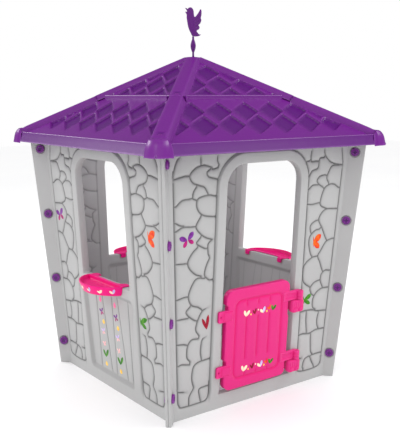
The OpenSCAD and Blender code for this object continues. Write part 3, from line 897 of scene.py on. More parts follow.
def lozenge_relief(x, h, centres):
    """Depth and shade of the lozenge recesses at points (x, h)."""
    area = abs(LOZENGE_SHORT[0] * LOZENGE_LONG[1] - LOZENGE_SHORT[1] * LOZENGE_LONG[0])
    across_short = area / np.linalg.norm(LOZENGE_SHORT)
    across_long = area / np.linalg.norm(LOZENGE_LONG)
    turn = np.linalg.inv(np.column_stack([LOZENGE_SHORT, LOZENGE_LONG]))
    depth = np.zeros(len(x))
    for cx, ch in centres:
        s, t = turn @ np.vstack([x - cx, h - ch])
        walls = [smooth((t + 0.5) * across_short / LOZENGE_STEEP),
                 np.clip((0.5 - t) * across_short / LOZENGE_SLOW, 0, 1),
                 smooth((s + 0.5) * across_long / LOZENGE_LOW),
                 smooth((0.5 - s) * across_long / LOZENGE_HIGH)]
        depth = np.maximum(depth, np.prod(walls, axis=0))
    depth *= smooth((h - np.abs(x) - 47) / 10)
    return LOZENGE_DEPTH * depth, depth


def lozenge_seeds(centres):
    """Rows of (x, h) points along the walls of the recesses."""
    rows = []
    long_span, short_span = LOZENGE_SPANS
    for c in centres:
        for g in (1, -1):
            for inset in (-1, 1.5, 4, 7, 10, 15, 22, 32):
                end = c + 0.5 * g * LOZENGE_LONG - g * LOZENGE_LONG * inset / long_span
                rows.append(polyline([end - 0.5 * LOZENGE_SHORT, end + 0.5 * LOZENGE_SHORT], 6))
                if inset < 24:
                    side = c + 0.5 * g * LOZENGE_SHORT * (1 - 2 * inset / short_span)
                    rows.append(polyline([side - 0.5 * LOZENGE_LONG, side + 0.5 * LOZENGE_LONG], 6))
    return rows


# Rolled rim and fascia of a lower sheet: (out from the valley, up from it)
EAVE = [(-3, 4), (0, 6.8), (3.5, 8), (7, 6.2), (8.6, 1), (12, -10), (18, -28), (FASCIA_OUT - 0.2, -32.4)]
# How far past the flat of a lower sheet the painted shade on its fascia starts
FASCIA_FROM = 22


def roof_sheet(profile, centres, flat_to, mirror):
    """Moulded sheet whose section is a curve of (h, z) points, cut at the mitres."""
    curve = spline(profile, 1.5)
    run, along = run_along(curve), directions(curve)
    normal = np.column_stack([-along[:, 1], along[:, 0]])
    half = curve[:, 0] - 2.5
    marks = np.unique(np.concatenate([np.arange(0, run[-1], 9), run[curve[:, 0] > flat_to], run[-1:]]))
    edge = np.interp(marks, run, half)
    ends = [np.column_stack([edge, marks])[::-1], np.column_stack([-edge, marks])]
    outline = np.vstack([ends[1], polyline([ends[1][-1], ends[0][0]], 12)[1:-1], ends[0],
                         polyline([ends[0][-1], ends[1][0]], 12)[1:-1]])
    slope_run = 1 / math.cos(math.atan(SLOPE))
    seeds = [np.column_stack([r[:, 0], (r[:, 1] - profile[0][0]) * slope_run])
             for r in lozenge_seeds(centres)]
    seeds = [s[(s[:, 1] > 2) & (s[:, 1] < (flat_to - profile[0][0]) * slope_run)] for s in seeds]
    seeds += [polyline([(-600, s), (600, s)], 12) for s in run[curve[:, 0] > flat_to][:-1]]

    def relief(p):
        h = np.interp(p[:, 1], run, curve[:, 0])
        depth, shade = lozenge_relief(p[:, 0], h, centres)
        on_plane = (h < flat_to) & (h > profile[0][0] + 1)
        # Shade of the lozenge recesses, plus painted shade on the lower sheet's fascia.
        return -depth * on_plane, shade * on_plane + 0.8 * (h > flat_to + FASCIA_FROM)

    def place(p, out):
        h = np.interp(p[:, 1], run, curve[:, 0]) + out * np.interp(p[:, 1], run, normal[:, 0])
        z = np.interp(p[:, 1], run, curve[:, 1]) + out * np.interp(p[:, 1], run, normal[:, 1])
        x = p[:, 0] * (-1 if mirror else 1)
        return np.column_stack([x, -h, z])

    return slab(outline, [], seeds, place, relief, lambda p: (relief(p)[0] - SHEET_T, relief(p)[1]),
                13, fine=1.2)


def make_roof():
    """Sheets of both tiers; neighbouring sides are mirror images."""
    v = VALLEY_HALF
    lower = [(LAP_H, lower_z(LAP_H)), (v - 60, lower_z(v - 60)), (v - 16, lower_z(v - 16)),
             (v - 8, lower_z(v - 8) + 0.4), *[(v + out, VALLEY_Z + up) for out, up in EAVE]]
    s = SEAM_H
    upper = [(APEX_H, upper_z(APEX_H)), (s - 60, upper_z(s - 60)), (s - 12, upper_z(s - 12)),
             (s - 6, upper_z(s - 6) + 0.8), (s - 2, upper_z(s) + 3.4), (s + 1.5, upper_z(s) + 3.6),
             (s + 4.2, upper_z(s) + 1), (s + 5, lower_z(s + 5) + 3), (s + 5.4, lower_z(s + 5) + 0.6)]
    low_rows = lozenge_centres((0, 1), 470)
    high_rows = lozenge_centres((-3, -2, -1), 320)
    for mirror in (False, True):
        sheets = {"lower": roof_sheet(lower, low_rows, v - 15, mirror),
                  "upper": roof_sheet(upper, high_rows, s - 11, mirror)}
        for side, name in enumerate(SIDES):
            if side % 2 == mirror:
                for tier, part in sheets.items():
                    make(f"{tier}_roof_sheet_{name}", [turned(part, side)], [ROOF], "house",
                         [f"roof_{tier}_{name}"])


make_roof()


# ---------- hip caps ----------

CAP_TOP_HALF = 23
CAP_HALF = 34
CAP_SKIN = 3
CAP_CORNER_R = 30
DIMPLE_R = 8.5
DIMPLE_DEPTH = 2.5
# How far a screw's seat stands off the plane of the lower sheets
SCREW_RISE = {"lower": 9.4, "upper": 10.8}
# Foot of a lower cap, where it turns down round the eave's corner: (radius, z)
HIP_FOOT = [(740, 1020), (752, 1010), (760, 994), (767, 963)]


def cap_ring(top_half, half, drop, wrap):
    """Section of a cap as (across, down, back) points: outside left to right, then inside."""
    side = [(-half, drop), (-half + 1, drop * 0.86), (-top_half - 2.2, 2.8), (-top_half, 0.6),
            (-top_half * 0.6, -0.2), (-top_half * 0.2, -0.5)]
    outer = np.array(side + [(-c, d) for c, d in reversed(side)])
    inner = np.array([(c * (1 - CAP_SKIN / half), d + CAP_SKIN * (abs(c) < top_half + 1))
                      for c, d in outer[::-1]])
    ring = np.vstack([outer, inner])
    across = np.abs(ring[:, 0])
    bend = np.minimum(across, CAP_CORNER_R / math.sqrt(2))
    back = CAP_CORNER_R - np.sqrt(CAP_CORNER_R ** 2 - bend ** 2) + across - bend
    return np.column_stack([ring, wrap * back])


def cap(path, tops, halves, drops, wraps, screw_r):
    """Cap lofted along a path of (radius, z), with a dimple round its screw."""
    curve = spline(path, 3)
    run, along = run_along(curve), directions(curve)
    down = np.column_stack([along[:, 1], -along[:, 0]])
    rings, shades = [], []
    for k, (centre, inward) in enumerate(zip(curve, down)):
        values = [np.interp(run[k], *np.transpose(table)) for table in (tops, halves, drops, wraps)]
        ring = cap_ring(*values)
        dip = 1 - smooth((np.hypot(ring[:, 0], centre[0] - screw_r) - DIMPLE_R) / 5)
        deep = ring[:, 1] + DIMPLE_DEPTH * dip
        rings.append(np.column_stack([
            centre[0] + inward[0] * deep - ring[:, 2], ring[:, 0], centre[1] + inward[1] * deep]))
        shades.append(0.9 * dip)
    return loft(rings, shades)


def hip(h, rise):
    """Point (radius, z) over a hip where the sheets are h from the middle."""
    return h * math.sqrt(2), lower_z(h) + rise


def make_caps():
    """Lower and upper caps over the four hips."""
    lower_path = [hip(282, 14.6), hip(340, 14.6), hip(430, 14.6), hip(490, 14.6), hip(508, 13.6),
                  *HIP_FOOT]
    upper_path = [hip(APEX_H + 2, 15.6), hip(100, 16), hip(200, 16), hip(282, 15.8), hip(284.5, 15.2)]
    length = math.dist(lower_path[0], lower_path[4])
    lower = cap(lower_path,
                [(0, CAP_TOP_HALF), (length, CAP_TOP_HALF + 2), (length + 40, 34), (length + 85, 42)],
                [(0, CAP_HALF), (length, CAP_HALF), (length + 36, 40), (length + 60, 46), (length + 85, 49)],
                [(0, 30), (length, 29), (length + 20, 16), (length + 40, 10)],
                [(0, 0), (length, 0), (length + 20, 0.7), (length + 36, 1)], HIP_SCREWS["lower"])
    span = math.dist(upper_path[0], upper_path[4])
    upper = cap(upper_path,
                [(0, CAP_TOP_HALF), (span, CAP_TOP_HALF + 1)],
                [(0, CAP_HALF), (span, CAP_HALF + 1)],
                [(0, 23.5), (span - 3.5, 23.5), (span - 0.5, 2)], [(0, 0), (span, 0)], HIP_SCREWS["upper"])
    for corner, name in enumerate(CORNERS):
        for tier, part in (("lower", lower), ("upper", upper)):
            make(f"{tier}_hip_cap_{name}", [moved(part, lambda p: at_corner(p, corner))], [ROOF],
                 "house", [f"hip_cap_{tier}_{name}"])


make_caps()


def make_roof_screws():
    """Domed screw heads in the dimples of the hip caps."""
    tilt = math.atan(SLOPE / math.sqrt(2))
    profile = [(2, -12), (2, 0), (7.6, 0), (7.9, 0.8), (7.2, 2), (5, 3), (2.4, 3.3), (1.8, 1.9), (0.2, 1.8)]
    head = lathe(profile, 28)
    parts = []
    for corner in range(4):
        for tier, rise in SCREW_RISE.items():
            r = HIP_SCREWS[tier]

            def place(p, r=r, rise=rise, corner=corner):
                up = p[:, 2] + rise
                radius = r + p[:, 0] * math.cos(tilt) + up * math.sin(tilt)
                z = lower_z(r / math.sqrt(2)) - p[:, 0] * math.sin(tilt) + up * math.cos(tilt)
                return at_corner(np.column_stack([radius, p[:, 1], z]), corner)
            parts.append(moved(head, place))
    make("roof_screw_heads", parts, [BOLT], "house", ["roof_screws"])


make_roof_screws()


def make_apex():
    """Low square cap with round edges and a dish round the post."""
    a = np.linspace(0, 2 * np.pi, 96, endpoint=False)

    def ring(half, power, z):
        scale = half / (np.abs(np.cos(a)) ** power + np.abs(np.sin(a)) ** power) ** (1 / power)
        return np.column_stack([scale * np.cos(a), scale * np.sin(a), np.full(len(a), z)])

    top = APEX_Z
    rings = [ring(33, 8, APEX_FOOT), ring(36, 7, APEX_FOOT + 2), ring(35.5, 6, top - 24),
             ring(33, 5, top - 12), ring(29.5, 4, top - 3.5), ring(27, 3.4, top - 1),
             ring(24, 3, top - 0.2), ring(21, 2.4, top - 0.8), ring(19.4, 2, top - 2.6),
             ring(18, 2, top - 5.2), ring(12, 2, top - 6), ring(4.2, 2, top - 6)]
    shades = [0] * 8 + [0.8, 1, 0.9, 0.9]
    make("apex_cap_moulded", [loft(rings, np.repeat(shades, len(a)))], [ROOF], "house",
         ["apex_cap"])


make_apex()


# ---------- window trays ----------

TRAY_R = 150
TRAY_FRONT = 100
TRAY_HALF = 135
TRAY_H = 37
TRAY_LEAN_IN = 15
# Share of the lean that the narrow sides take, the power that rounds the corners of the outline,
# and how much closer its points stand towards its two ends at the wall
TRAY_SIDE_LEAN = 0.15
TRAY_ROUNDING = 22.0
TRAY_EVENING = 0.42
CLIP_X = 108
CLIP_HALF = 13
CLIP_T = 6
WALL_AT_TRAY = BASE_HALF + LEDGE_Z * math.tan(LEAN)
TRAY_CENTRE = WALL_AT_TRAY + TRAY_FRONT - TRAY_R
TRAY_BACK = WALL_AT_TRAY + CASING_UP + 0.5


def tray_loop(inset, lean_in, z, back_in=None):
    """Plan outline of the tray, inset from its rim: an arc with rounded sides and a straight back."""
    back = TRAY_BACK + (inset if back_in is None else back_in)
    gap = back - TRAY_CENTRE
    radius, half = TRAY_R - inset - lean_in, TRAY_HALF - inset - lean_in * TRAY_SIDE_LEAN
    t = np.linspace(0, 1, 91)
    a = math.pi * t - TRAY_EVENING * np.sin(2 * math.pi * t)
    to_arc = np.sqrt(radius ** 2 - (gap * np.cos(a)) ** 2) - gap * np.sin(a)
    to_side = half / np.maximum(np.abs(np.cos(a)), 0.01)
    reach = (to_arc ** -TRAY_ROUNDING + to_side ** -TRAY_ROUNDING) ** (-1 / TRAY_ROUNDING)
    x, out = reach * np.cos(a), back + reach * np.sin(a)
    x = np.append(x, np.linspace(x[-1], x[0], 17)[1:-1])
    out = np.append(out, np.full(15, back))
    return np.column_stack([x, -out, np.full(len(x), z)])


def make_trays():
    """Bowl, lip and clips of a tray."""
    z = RIM_Z
    low = z - TRAY_H
    lean = TRAY_LEAN_IN
    loops = [
        tray_loop(9, lean, z - 21), tray_loop(5, lean, low + 2), tray_loop(4, lean, low + 0.4),
        tray_loop(2, lean, low), tray_loop(0.4, lean, low + 1.2), tray_loop(0, lean - 1, low + 3.5),
        tray_loop(0, lean * 0.66, low + 12), tray_loop(0, lean * 0.3, low + 25),
        tray_loop(0.2, 1.2, z - 4), tray_loop(0.8, 0.5, z - 1.6), tray_loop(2.2, 0, z - 0.3),
        tray_loop(4, 0, z, 2), tray_loop(6.5, 0, z - 0.1, 2.2), tray_loop(8.2, 0, z - 0.9, 2.5),
        tray_loop(9.4, 0, z - 2.6, 3), tray_loop(10.6, 1, z - 6, 3.6), tray_loop(12, 2.5, z - 10.5, 4.4),
        tray_loop(14, 3, z - 12.8, 6), tray_loop(18, 3, z - 13.8, 9), tray_loop(23, 4, z - 14, 14)]
    shades = [0.9, 0.8, 0.5] + [0] * 12 + [0.35, 0.7, 0.8, 0.6, 0.4]
    bowl = loft(loops, np.repeat(shades, len(loops[0])))
    clip_y = WALL_AT_TRAY - WALL_T - 1.6
    w = WALL_AT_TRAY
    inner = [(128, clip_y + 6), (124, clip_y - 4), (108, clip_y - 6), (95, clip_y - 2), (87, w - 16),
             (74, w - 10), (45, w - 8), (0, w - 7)]
    lip_outline = np.array([(-x, y) for x, y in inner] + inner[-2::-1])
    lip_outline = np.vstack([[(-128, TRAY_BACK + 1)], lip_outline, [(128, TRAY_BACK + 1)]])
    lip_outline = polyline(lip_outline, 5, closed=True)
    lip = plate(lip_outline[::-1], [], lambda p, out: np.column_stack([p[:, 0], -p[:, 1], out]),
                z - 0.2, z - 4.8, 2, grid=8)
    clips = []
    for x in (-CLIP_X, CLIP_X):
        shape = rounded_rect(x - CLIP_HALF, LEDGE_Z - 16, x + CLIP_HALF, z - 2, 4)
        clips.append(plate(
            shape, [], lambda p, out: np.column_stack([p[:, 0], CLIP_T - clip_y - out, p[:, 1]]),
            CLIP_T, 0, 1.5))
    make_window_sides("window_tray", [bowl, lip, *clips], [TRAY], "tray_")


make_trays()


# ---------- door ----------

LEVELS = ("upper", "lower")
# Rectangles are (x0, z0, x1, z1)
LEAF = (-167, 69, 145, 459)
LEAF_R = 32
LEAF_OUT = 16
LEAF_BACK = -10
# Outer face of the lugs and straps
LUG_OUT = LEAF_OUT + 2
PANEL = (-122, 110, 106, 414)
PANEL_R = 26
SLATS = (-70, -13, 44)
SLAT_RUNS = ((116, 124), (183, 340), (394, 412))
LUG_X, LUG_LEN, LUG_H, LUG_T = -203, 67, 44, 12
LUG_HOLE_IN, LUG_HOLE_R = 11, 2.5
LUG_UP = {"lower": 128, "upper": 343}
HINGE_UP = {"lower": 124, "upper": 373}
STRAP_H = 40
LUG_NOTCH, STRAP_NOTCH = 8, 5
PANEL_GROOVE, SLAT_GROOVE = 5.2, 4.2
LEAF_GROOVE_DEPTH = 4.4
PANEL_DEPTH = 0.8
STRAP_X = 112
BRACKET = (152, 212)
BRACKET_H = 49
BRACKET_OUT = 31
BOSS_X = (167, 196)
BOSS_UP = 10.5
BRACKET_SCREW_UP = 10
BRACKET_RIBS = (160, 172, 184, 196)
BRACKET_RIBS_FROM = 22
PIN_R, PIN_UP, PIN_DOWN = 3.9, 31, 34


def leaf_relief(p):
    """Sunk panel and grooves of the leaf, the same on both faces, with painted shade in the grooves."""
    x, z = p[:, 0], p[:, 1]
    cx, cz = (PANEL[0] + PANEL[2]) / 2, (PANEL[1] + PANEL[3]) / 2
    qx = np.abs(x - cx) - (PANEL[2] - PANEL[0]) / 2 + PANEL_R
    qz = np.abs(z - cz) - (PANEL[3] - PANEL[1]) / 2 + PANEL_R
    gap = np.hypot(np.maximum(qx, 0), np.maximum(qz, 0)) + np.minimum(np.maximum(qx, qz), 0) - PANEL_R
    groove = bell(gap / PANEL_GROOVE)
    slat = np.zeros(len(p))
    for at in SLATS:
        for z0, z1 in SLAT_RUNS:
            past = np.maximum(np.maximum(z0 - z, z - z1), 0)
            slat = np.maximum(slat, bell(np.hypot(x - at, past) / SLAT_GROOVE))
    cut = np.maximum(groove, slat)
    inner = 1 - smooth((gap + 7) / 7)
    return -LEAF_GROOVE_DEPTH * cut - PANEL_DEPTH * inner * (1 - cut), cut


def leaf_outline():
    """Outline of the leaf, with shallow notches at the lugs and under the straps."""
    outline = rounded_rect(*LEAF, LEAF_R, 4)
    x, z = outline[:, 0].copy(), outline[:, 1]
    for level in LEVELS:
        lug, strap = LUG_UP[level], HINGE_UP[level]
        for depth, edge, low, top in ((LUG_NOTCH, x < LEAF[0] + 3, lug + 6, lug + LUG_H + 20),
                                      (-STRAP_NOTCH, x > LEAF[2] - 3, strap - 60, strap + 4)):
            outline[:, 0] += depth * edge * smooth((z - low) / 6) * smooth((top - z) / 6)
    return outline


def make_door():
    """The leaf, then its lugs, hinges and brackets."""
    x0, z0, x1, z1 = PANEL
    seeds = [rounded_rect(x0 - d, z0 - d, x1 + d, z1 + d, PANEL_R + d, 5)
             for d in (-9, -6, -4, -2, 0, 2, 4, 6, 9)]
    for at in SLATS:
        for low, high in SLAT_RUNS:
            seeds += offset_rows(polyline([(at, low - 6), (at, high + 6)], 4), [0, -2, 2, -4, 4, -6.5, 6.5])
    leaf = plate(leaf_outline(), [], on_wall, LEAF_OUT, LEAF_BACK, 3.5, leaf_relief, seeds, grid=11,
                 behind=leaf_relief)
    make("door_leaf_moulded", [shaded_sides(leaf)], [DOOR, DOOR_SIDE_SHADE], "door", ["door_leaf"])
    for level in LEVELS:
        make_lug(level)
        make_hinge(level)
        make_bracket(level)


def make_lug(level):
    """Stop lug with a small hole and a raised pad."""
    z = LUG_UP[level]
    x = LUG_X
    outline = rounded_rect(x, z, x + LUG_LEN, z + LUG_H, 6, 2.5)
    hole_at = (x + LUG_HOLE_IN, z + LUG_H / 2)
    hole = arc(hole_at, LUG_HOLE_R, 360, 0, 1.2)[:-1]
    pad = (x + 24, z + 7, x + LUG_LEN - 5, z + LUG_H - 7)

    def relief(p):
        inside_pad = inside_rect(p, pad)
        ring = bell((np.hypot(*(p - hole_at).T) - 5.5) / 1.6)
        up = 1 - smooth(-inside_pad / 2.5)
        edge = bell((inside_pad + 1.6) / 2.2)
        return -1.9 + 1.9 * up - 0.8 * ring, np.maximum(0.8 * edge, 0.6 * ring)

    x0, z0, x1, z1 = pad
    seeds = [rounded_rect(x0 - d, z0 - d, x1 + d, z1 + d, 3, 3) for d in (-1, 0, 1.2, 2.4, 4)]
    seeds += [arc(hole_at, q, 0, 360, 1.6) for q in (4, 5, 6.4, 8)]
    part = plate(outline, [hole], on_wall, LUG_OUT, LUG_OUT - LUG_T, 2, relief, seeds, grid=5)
    make(f"{level}_stop_lug", [shaded_sides(part)], [DOOR, DOOR_SIDE_SHADE], "door",
         [f"door_lug_{level}"])


def make_hinge(level):
    """Strap on the leaf, with a sunk field, and a knuckle that stands on the bracket."""
    z = HINGE_UP[level]
    outline = rounded_rect(STRAP_X, z, AXIS_X + 2, z + STRAP_H - 2, 5, 3)
    x0, z0, x1, z1 = STRAP_X + 10, z + 9, AXIS_X - 24, z + STRAP_H - 11

    def relief(p):
        within = inside_rect(p, (x0, z0, x1, z1))
        return -1.4 * smooth(within / 2.5), 0.45 * bell((within - 1) / 1.8)

    seeds = [rounded_rect(x0 + d, z0 + d, x1 - d, z1 - d, 2, 3) for d in (0, 1.2, 2.5)]
    strap = plate(outline, [], on_wall, LUG_OUT, LUG_OUT - LUG_T, 2, relief, seeds)
    knuckle = lathe([(4.1, 0), (11.8, 0), (13.4, 1.6), (13.4, 10), (12.3, 11), (12.3, 12.6), (13.4, 13.6),
                     (13.4, 22.4), (12.3, 23.4), (12.3, 25), (13.4, 26), (13.4, 33.8), (11.8, 35.6),
                     (9, 36), (8, 35), (4.4, 35), (0.3, 34.6)])
    make(f"{level}_hinge_strap", [strap, on_axis(knuckle, z)], [DOOR], "door",
         [f"door_hinge_{level}"])


def make_bracket(level):
    """Hinge bracket on the casing, with two round bosses and ribs, and its pin."""
    top = HINGE_UP[level] - 0.6
    low = top - BRACKET_H
    outline = rounded_rect(BRACKET[0], low, BRACKET[1], top, 9, 3)
    bosses = [(x, low + BOSS_UP) for x in BOSS_X]

    def relief(p):
        height = np.full(len(p), -2.2)
        shade = np.zeros(len(p))
        for x, z in bosses:
            distance = np.hypot(p[:, 0] - x, p[:, 1] - z)
            height += 2.2 * (1 - smooth((distance - 8.6) / 2))
            shade = np.maximum(shade, 0.5 * bell((distance - 10.4) / 2))
        above = p[:, 1] - low - BRACKET_RIBS_FROM
        below = top - 5 - p[:, 1]
        for x in BRACKET_RIBS:
            height += 1.8 * bell((p[:, 0] - x - 2) / 2.6) * smooth(above / 4) * smooth(below / 3)
        edge = bell(above / 2)
        return height, np.maximum(shade, 0.35 * edge)

    seeds = [arc(b, q, 0, 360, 2) for b in bosses for q in (3, 6, 8.2, 9.6, 11)]
    seeds += [polyline([(x + d, low + 18), (x + d, top - 3)], 3)
              for x in BRACKET_RIBS for d in (-3, 0, 2, 4, 7)]
    block = plate(outline, [], on_wall, BRACKET_OUT, CASING_UP + 0.2, 3, relief, seeds, grid=5)
    hook = plate(rounded_rect(BRACKET[0] + 0.5, low + 8, OPEN_HALF - 0.4, top - 8, 3), [], on_wall,
                 BRACKET_OUT - 4, -9, 2)
    make(f"{level}_hinge_bracket", [block, hook], [DOOR], "house", [f"hinge_bracket_{level}"])
    pin = lathe([(0.3, -PIN_DOWN), (PIN_R - 0.5, -PIN_DOWN), (PIN_R, 1 - PIN_DOWN), (PIN_R, PIN_UP - 1),
                 (PIN_R - 0.5, PIN_UP), (0.3, PIN_UP)], 24)
    make(f"{level}_hinge_pin", [on_axis(pin, top)], [DOOR], "house", [f"hinge_pin_{level}"])


make_door()


def make_bracket_screws():
    """Domed screw heads in the bosses of the hinge brackets."""
    profile = [(1.9, -20), (1.9, -1), (6, -0.8), (6.5, 0), (6.2, 1.2), (4.4, 2), (2.2, 2.2), (1.7, 1.2),
               (0.2, 1.1)]
    head = lathe(profile, 26)
    parts = []
    for up in HINGE_UP.values():
        for x in BOSS_X:
            at = [x, BRACKET_OUT - 0.6, up - BRACKET_H + BRACKET_SCREW_UP]
            parts.append(moved(head, lambda p: wall_frame(p[:, [0, 2, 1]] + at)))
    make("bracket_screw_heads", parts, [DOOR], "house", ["bracket_screws"])


make_bracket_screws()


# ---------- vane ----------

# Bird outline, x towards the tail and z up from its foot
BIRD = [(-4, 2), (-11, 12), (-18, 23), (-24, 37), (-28, 54), (-31, 70), (-31, 82), (-35, 88), (-38, 93),
        (-32, 92.5), (-29, 96.5), (-33, 101), (-38, 107), (-31, 105.5), (-26, 104), (-21, 109), (-12.5, 111),
        (-4, 107.5), (1.5, 99), (3, 87), (5, 77.5), (12, 77), (21, 86), (29, 96), (37, 107), (41, 101),
        (41, 87), (37.5, 73), (40.5, 66), (38, 58), (33, 50), (26, 45), (31.5, 38), (28, 29), (17, 22),
        (24, 13), (30, 9), (37.5, 9), (31, 3.5), (17, 0.3), (4, 0.3)]
BIRD_HEIGHT = 111.2
POST_FOOT = 1274
POST_R = 3.9
# Grooves between the wing feathers: height at the shoulder and slope
FEATHERS = [(60, 1.0), (48, 0.55), (38, 0.1)]


def make_vane():
    """Post, and the hub and bird that turn on it."""
    foot, top = POST_FOOT, HUB_Z + 18
    post = lathe([(0.3, foot), (POST_R, foot), (POST_R, foot + 25), (8.8, foot + 26), (8, foot + 30),
                  (5.2, foot + 34), (4.1, foot + 38), (POST_R, foot + 46), (POST_R, top), (0.3, top)], 32)
    make("vane_post_turned", [post], [VANE], "house", ["vane_post"])
    profile = spline([(5.4, 0.4), (6.4, 5), (8.6, 11), (10.2, 19), (10.3, 28), (8.6, 37), (5.8, 45),
                      (4.2, 50), (3.9, 58), (4.2, 60.4)], 1.5)
    profile = [(0.3, 0.4), *profile, (0.3, 61)]
    hub = lathe([(r, z + HUB_Z) for r, z in profile], 40)
    make("vane_hub_turned", [hub], [VANE], "vane", ["vane_hub"])
    scale = (BIRD_HI[2] - BIRD_LO[2]) / BIRD_HEIGHT
    outline = spline([(x * scale, z * scale) for x, z in BIRD], 1.6, closed=True)
    thick = (BIRD_HI[1] - BIRD_LO[1]) / 2

    def place(p, out):
        return np.column_stack([p[:, 0], -out, p[:, 1] + BIRD_LO[2]])

    def relief(p):
        x, z = p[:, 0] / scale, p[:, 1] / scale
        wing = sum(bell((z - low - (x - 8) * rise) / 1.6) for low, rise in FEATHERS) * smooth((x - 8) / 6)
        eye = bell(np.hypot(x + 14, z - 101) / 2)
        return -0.9 * np.minimum(wing + eye, 1), 0.7 * np.minimum(wing + eye, 1)

    bird = plate(outline[::-1], [], place, thick, -thick, 1.8, relief, grid=2.4, fine=0.8)
    make("vane_bird_moulded", [bird], [VANE], "vane", ["vane_bird"])


make_vane()


# ---------- stickers ----------

FILM_COLOURS = {
    "cream": ((255, 240, 205), (250, 215, 190)), "lilac": ((222, 200, 240), (190, 170, 225)),
    "purple": ((100, 26, 122), (134, 54, 160)), "magenta": ((150, 10, 100), (186, 26, 122)),
    "red": ((168, 10, 46), (130, 5, 34)), "orange": ((226, 48, 4), (240, 108, 4)),
    "green": ((36, 112, 6), (80, 152, 14)), "yellow": ((250, 200, 70), (255, 215, 110)),
    "pink": ((245, 90, 150), (250, 130, 175)), "peach": ((250, 200, 195), (245, 180, 185))}
FILMS = [sticker_film(f"film_{name}", srgb(*a), srgb(*b)) for name, (a, b) in FILM_COLOURS.items()]
CREAM, LILAC, PURPLE, MAGENTA, RED, ORANGE, GREEN, YELLOW, PINK, PEACH = FILMS


def petal(start, end, width, film, lift=0.0):
    """Teardrop outline from start to end, with its film and how high it lies."""
    start, end = np.array(start, float), np.array(end, float)
    along = end - start
    across = np.array([-along[1], along[0]]) / np.linalg.norm(along)
    t = np.array([0, 0.12, 0.35, 0.62, 0.85, 1])
    half = width / 2 * np.array([0.1, 0.45, 0.85, 1.0, 0.7, 0.08])
    left = [start + along * a + across * b for a, b in zip(t, half)]
    right = [start + along * a - across * b for a, b in zip(t, half)][::-1]
    return np.array(left + right), film, lift


def placed(shapes, x, z, tilt=0):
    """Shapes turned by tilt degrees, clockwise, and moved to (x, z)."""
    a = math.radians(tilt)
    turn = np.array([[math.cos(a), math.sin(a)], [-math.sin(a), math.cos(a)]])
    return [(outline @ turn + [x, z], film, lift) for outline, film, lift in shapes]


def butterfly(x, z, width, height, upper, lower, tilt=0):
    """Butterfly seen from above: two pairs of wings."""
    w, h = width / 2, height / 2
    shapes = [petal((s * w * 0.08, 0), (s * w, h), w * 0.62, upper, 0.12) for s in (-1, 1)]
    shapes += [petal((s * w * 0.08, 0), (s * w * 0.72, -h), w * 0.5, lower) for s in (-1, 1)]
    return placed(shapes, x, z, tilt)


def side_butterfly(x, z, width, height, film):
    """Butterfly seen from the side: a body at the left and two broad wings to the right."""
    w, h = width / 2, height / 2
    shapes = [petal((-w * 0.8, -h * 0.1), (w, h * 0.9), h * 0.95, film, 0.1),
              petal((-w * 0.8, 0), (w * 0.75, -h), h * 0.8, film),
              petal((-w * 0.95, h * 0.75), (-w * 0.7, -h * 0.75), w * 0.22, film, 0.2)]
    return placed(shapes, x, z)


def vee(x, z, width, height, first, second, tilt=0):
    """Two petals that meet at the bottom."""
    w, h = width / 2, height / 2
    return placed([petal((0, -h), (w, h), w * 0.95, first, 0.1),
                   petal((0, -h), (-w, h * 0.8), w * 0.85, second)], x, z, tilt)


def drop(x, z, width, height, film):
    """Single drop, its point upwards."""
    return placed([petal((0, height / 2), (0, -height / 2), width, film)], x, z)


def leaf_pair(x, z, size, film):
    """Two leaves that meet in a V."""
    return placed([petal((0, -size / 2), (size * 0.55, size * 0.45), size * 0.36, film, 0.1),
                   petal((0, -size / 2), (-size * 0.5, size * 0.2), size * 0.34, film)], x, z)


def film_parts(shapes, height, place):
    """Thin closed pieces that follow a surface of the given height."""
    parts = []
    for outline, film, lift in shapes:
        curve = spline(outline, 2, closed=True)
        area = np.cross(curve, np.roll(curve, -1, axis=0)).sum()
        curve = curve if area > 0 else curve[::-1]
        part = slab(curve, [], [], place,
                    lambda p: (height(p) + 0.5 + lift, np.zeros(len(p))),
                    lambda p: (height(p) - 0.4, np.zeros(len(p))), 3, fine=0.8)
        parts.append((*part, FILMS.index(film)))
    return parts


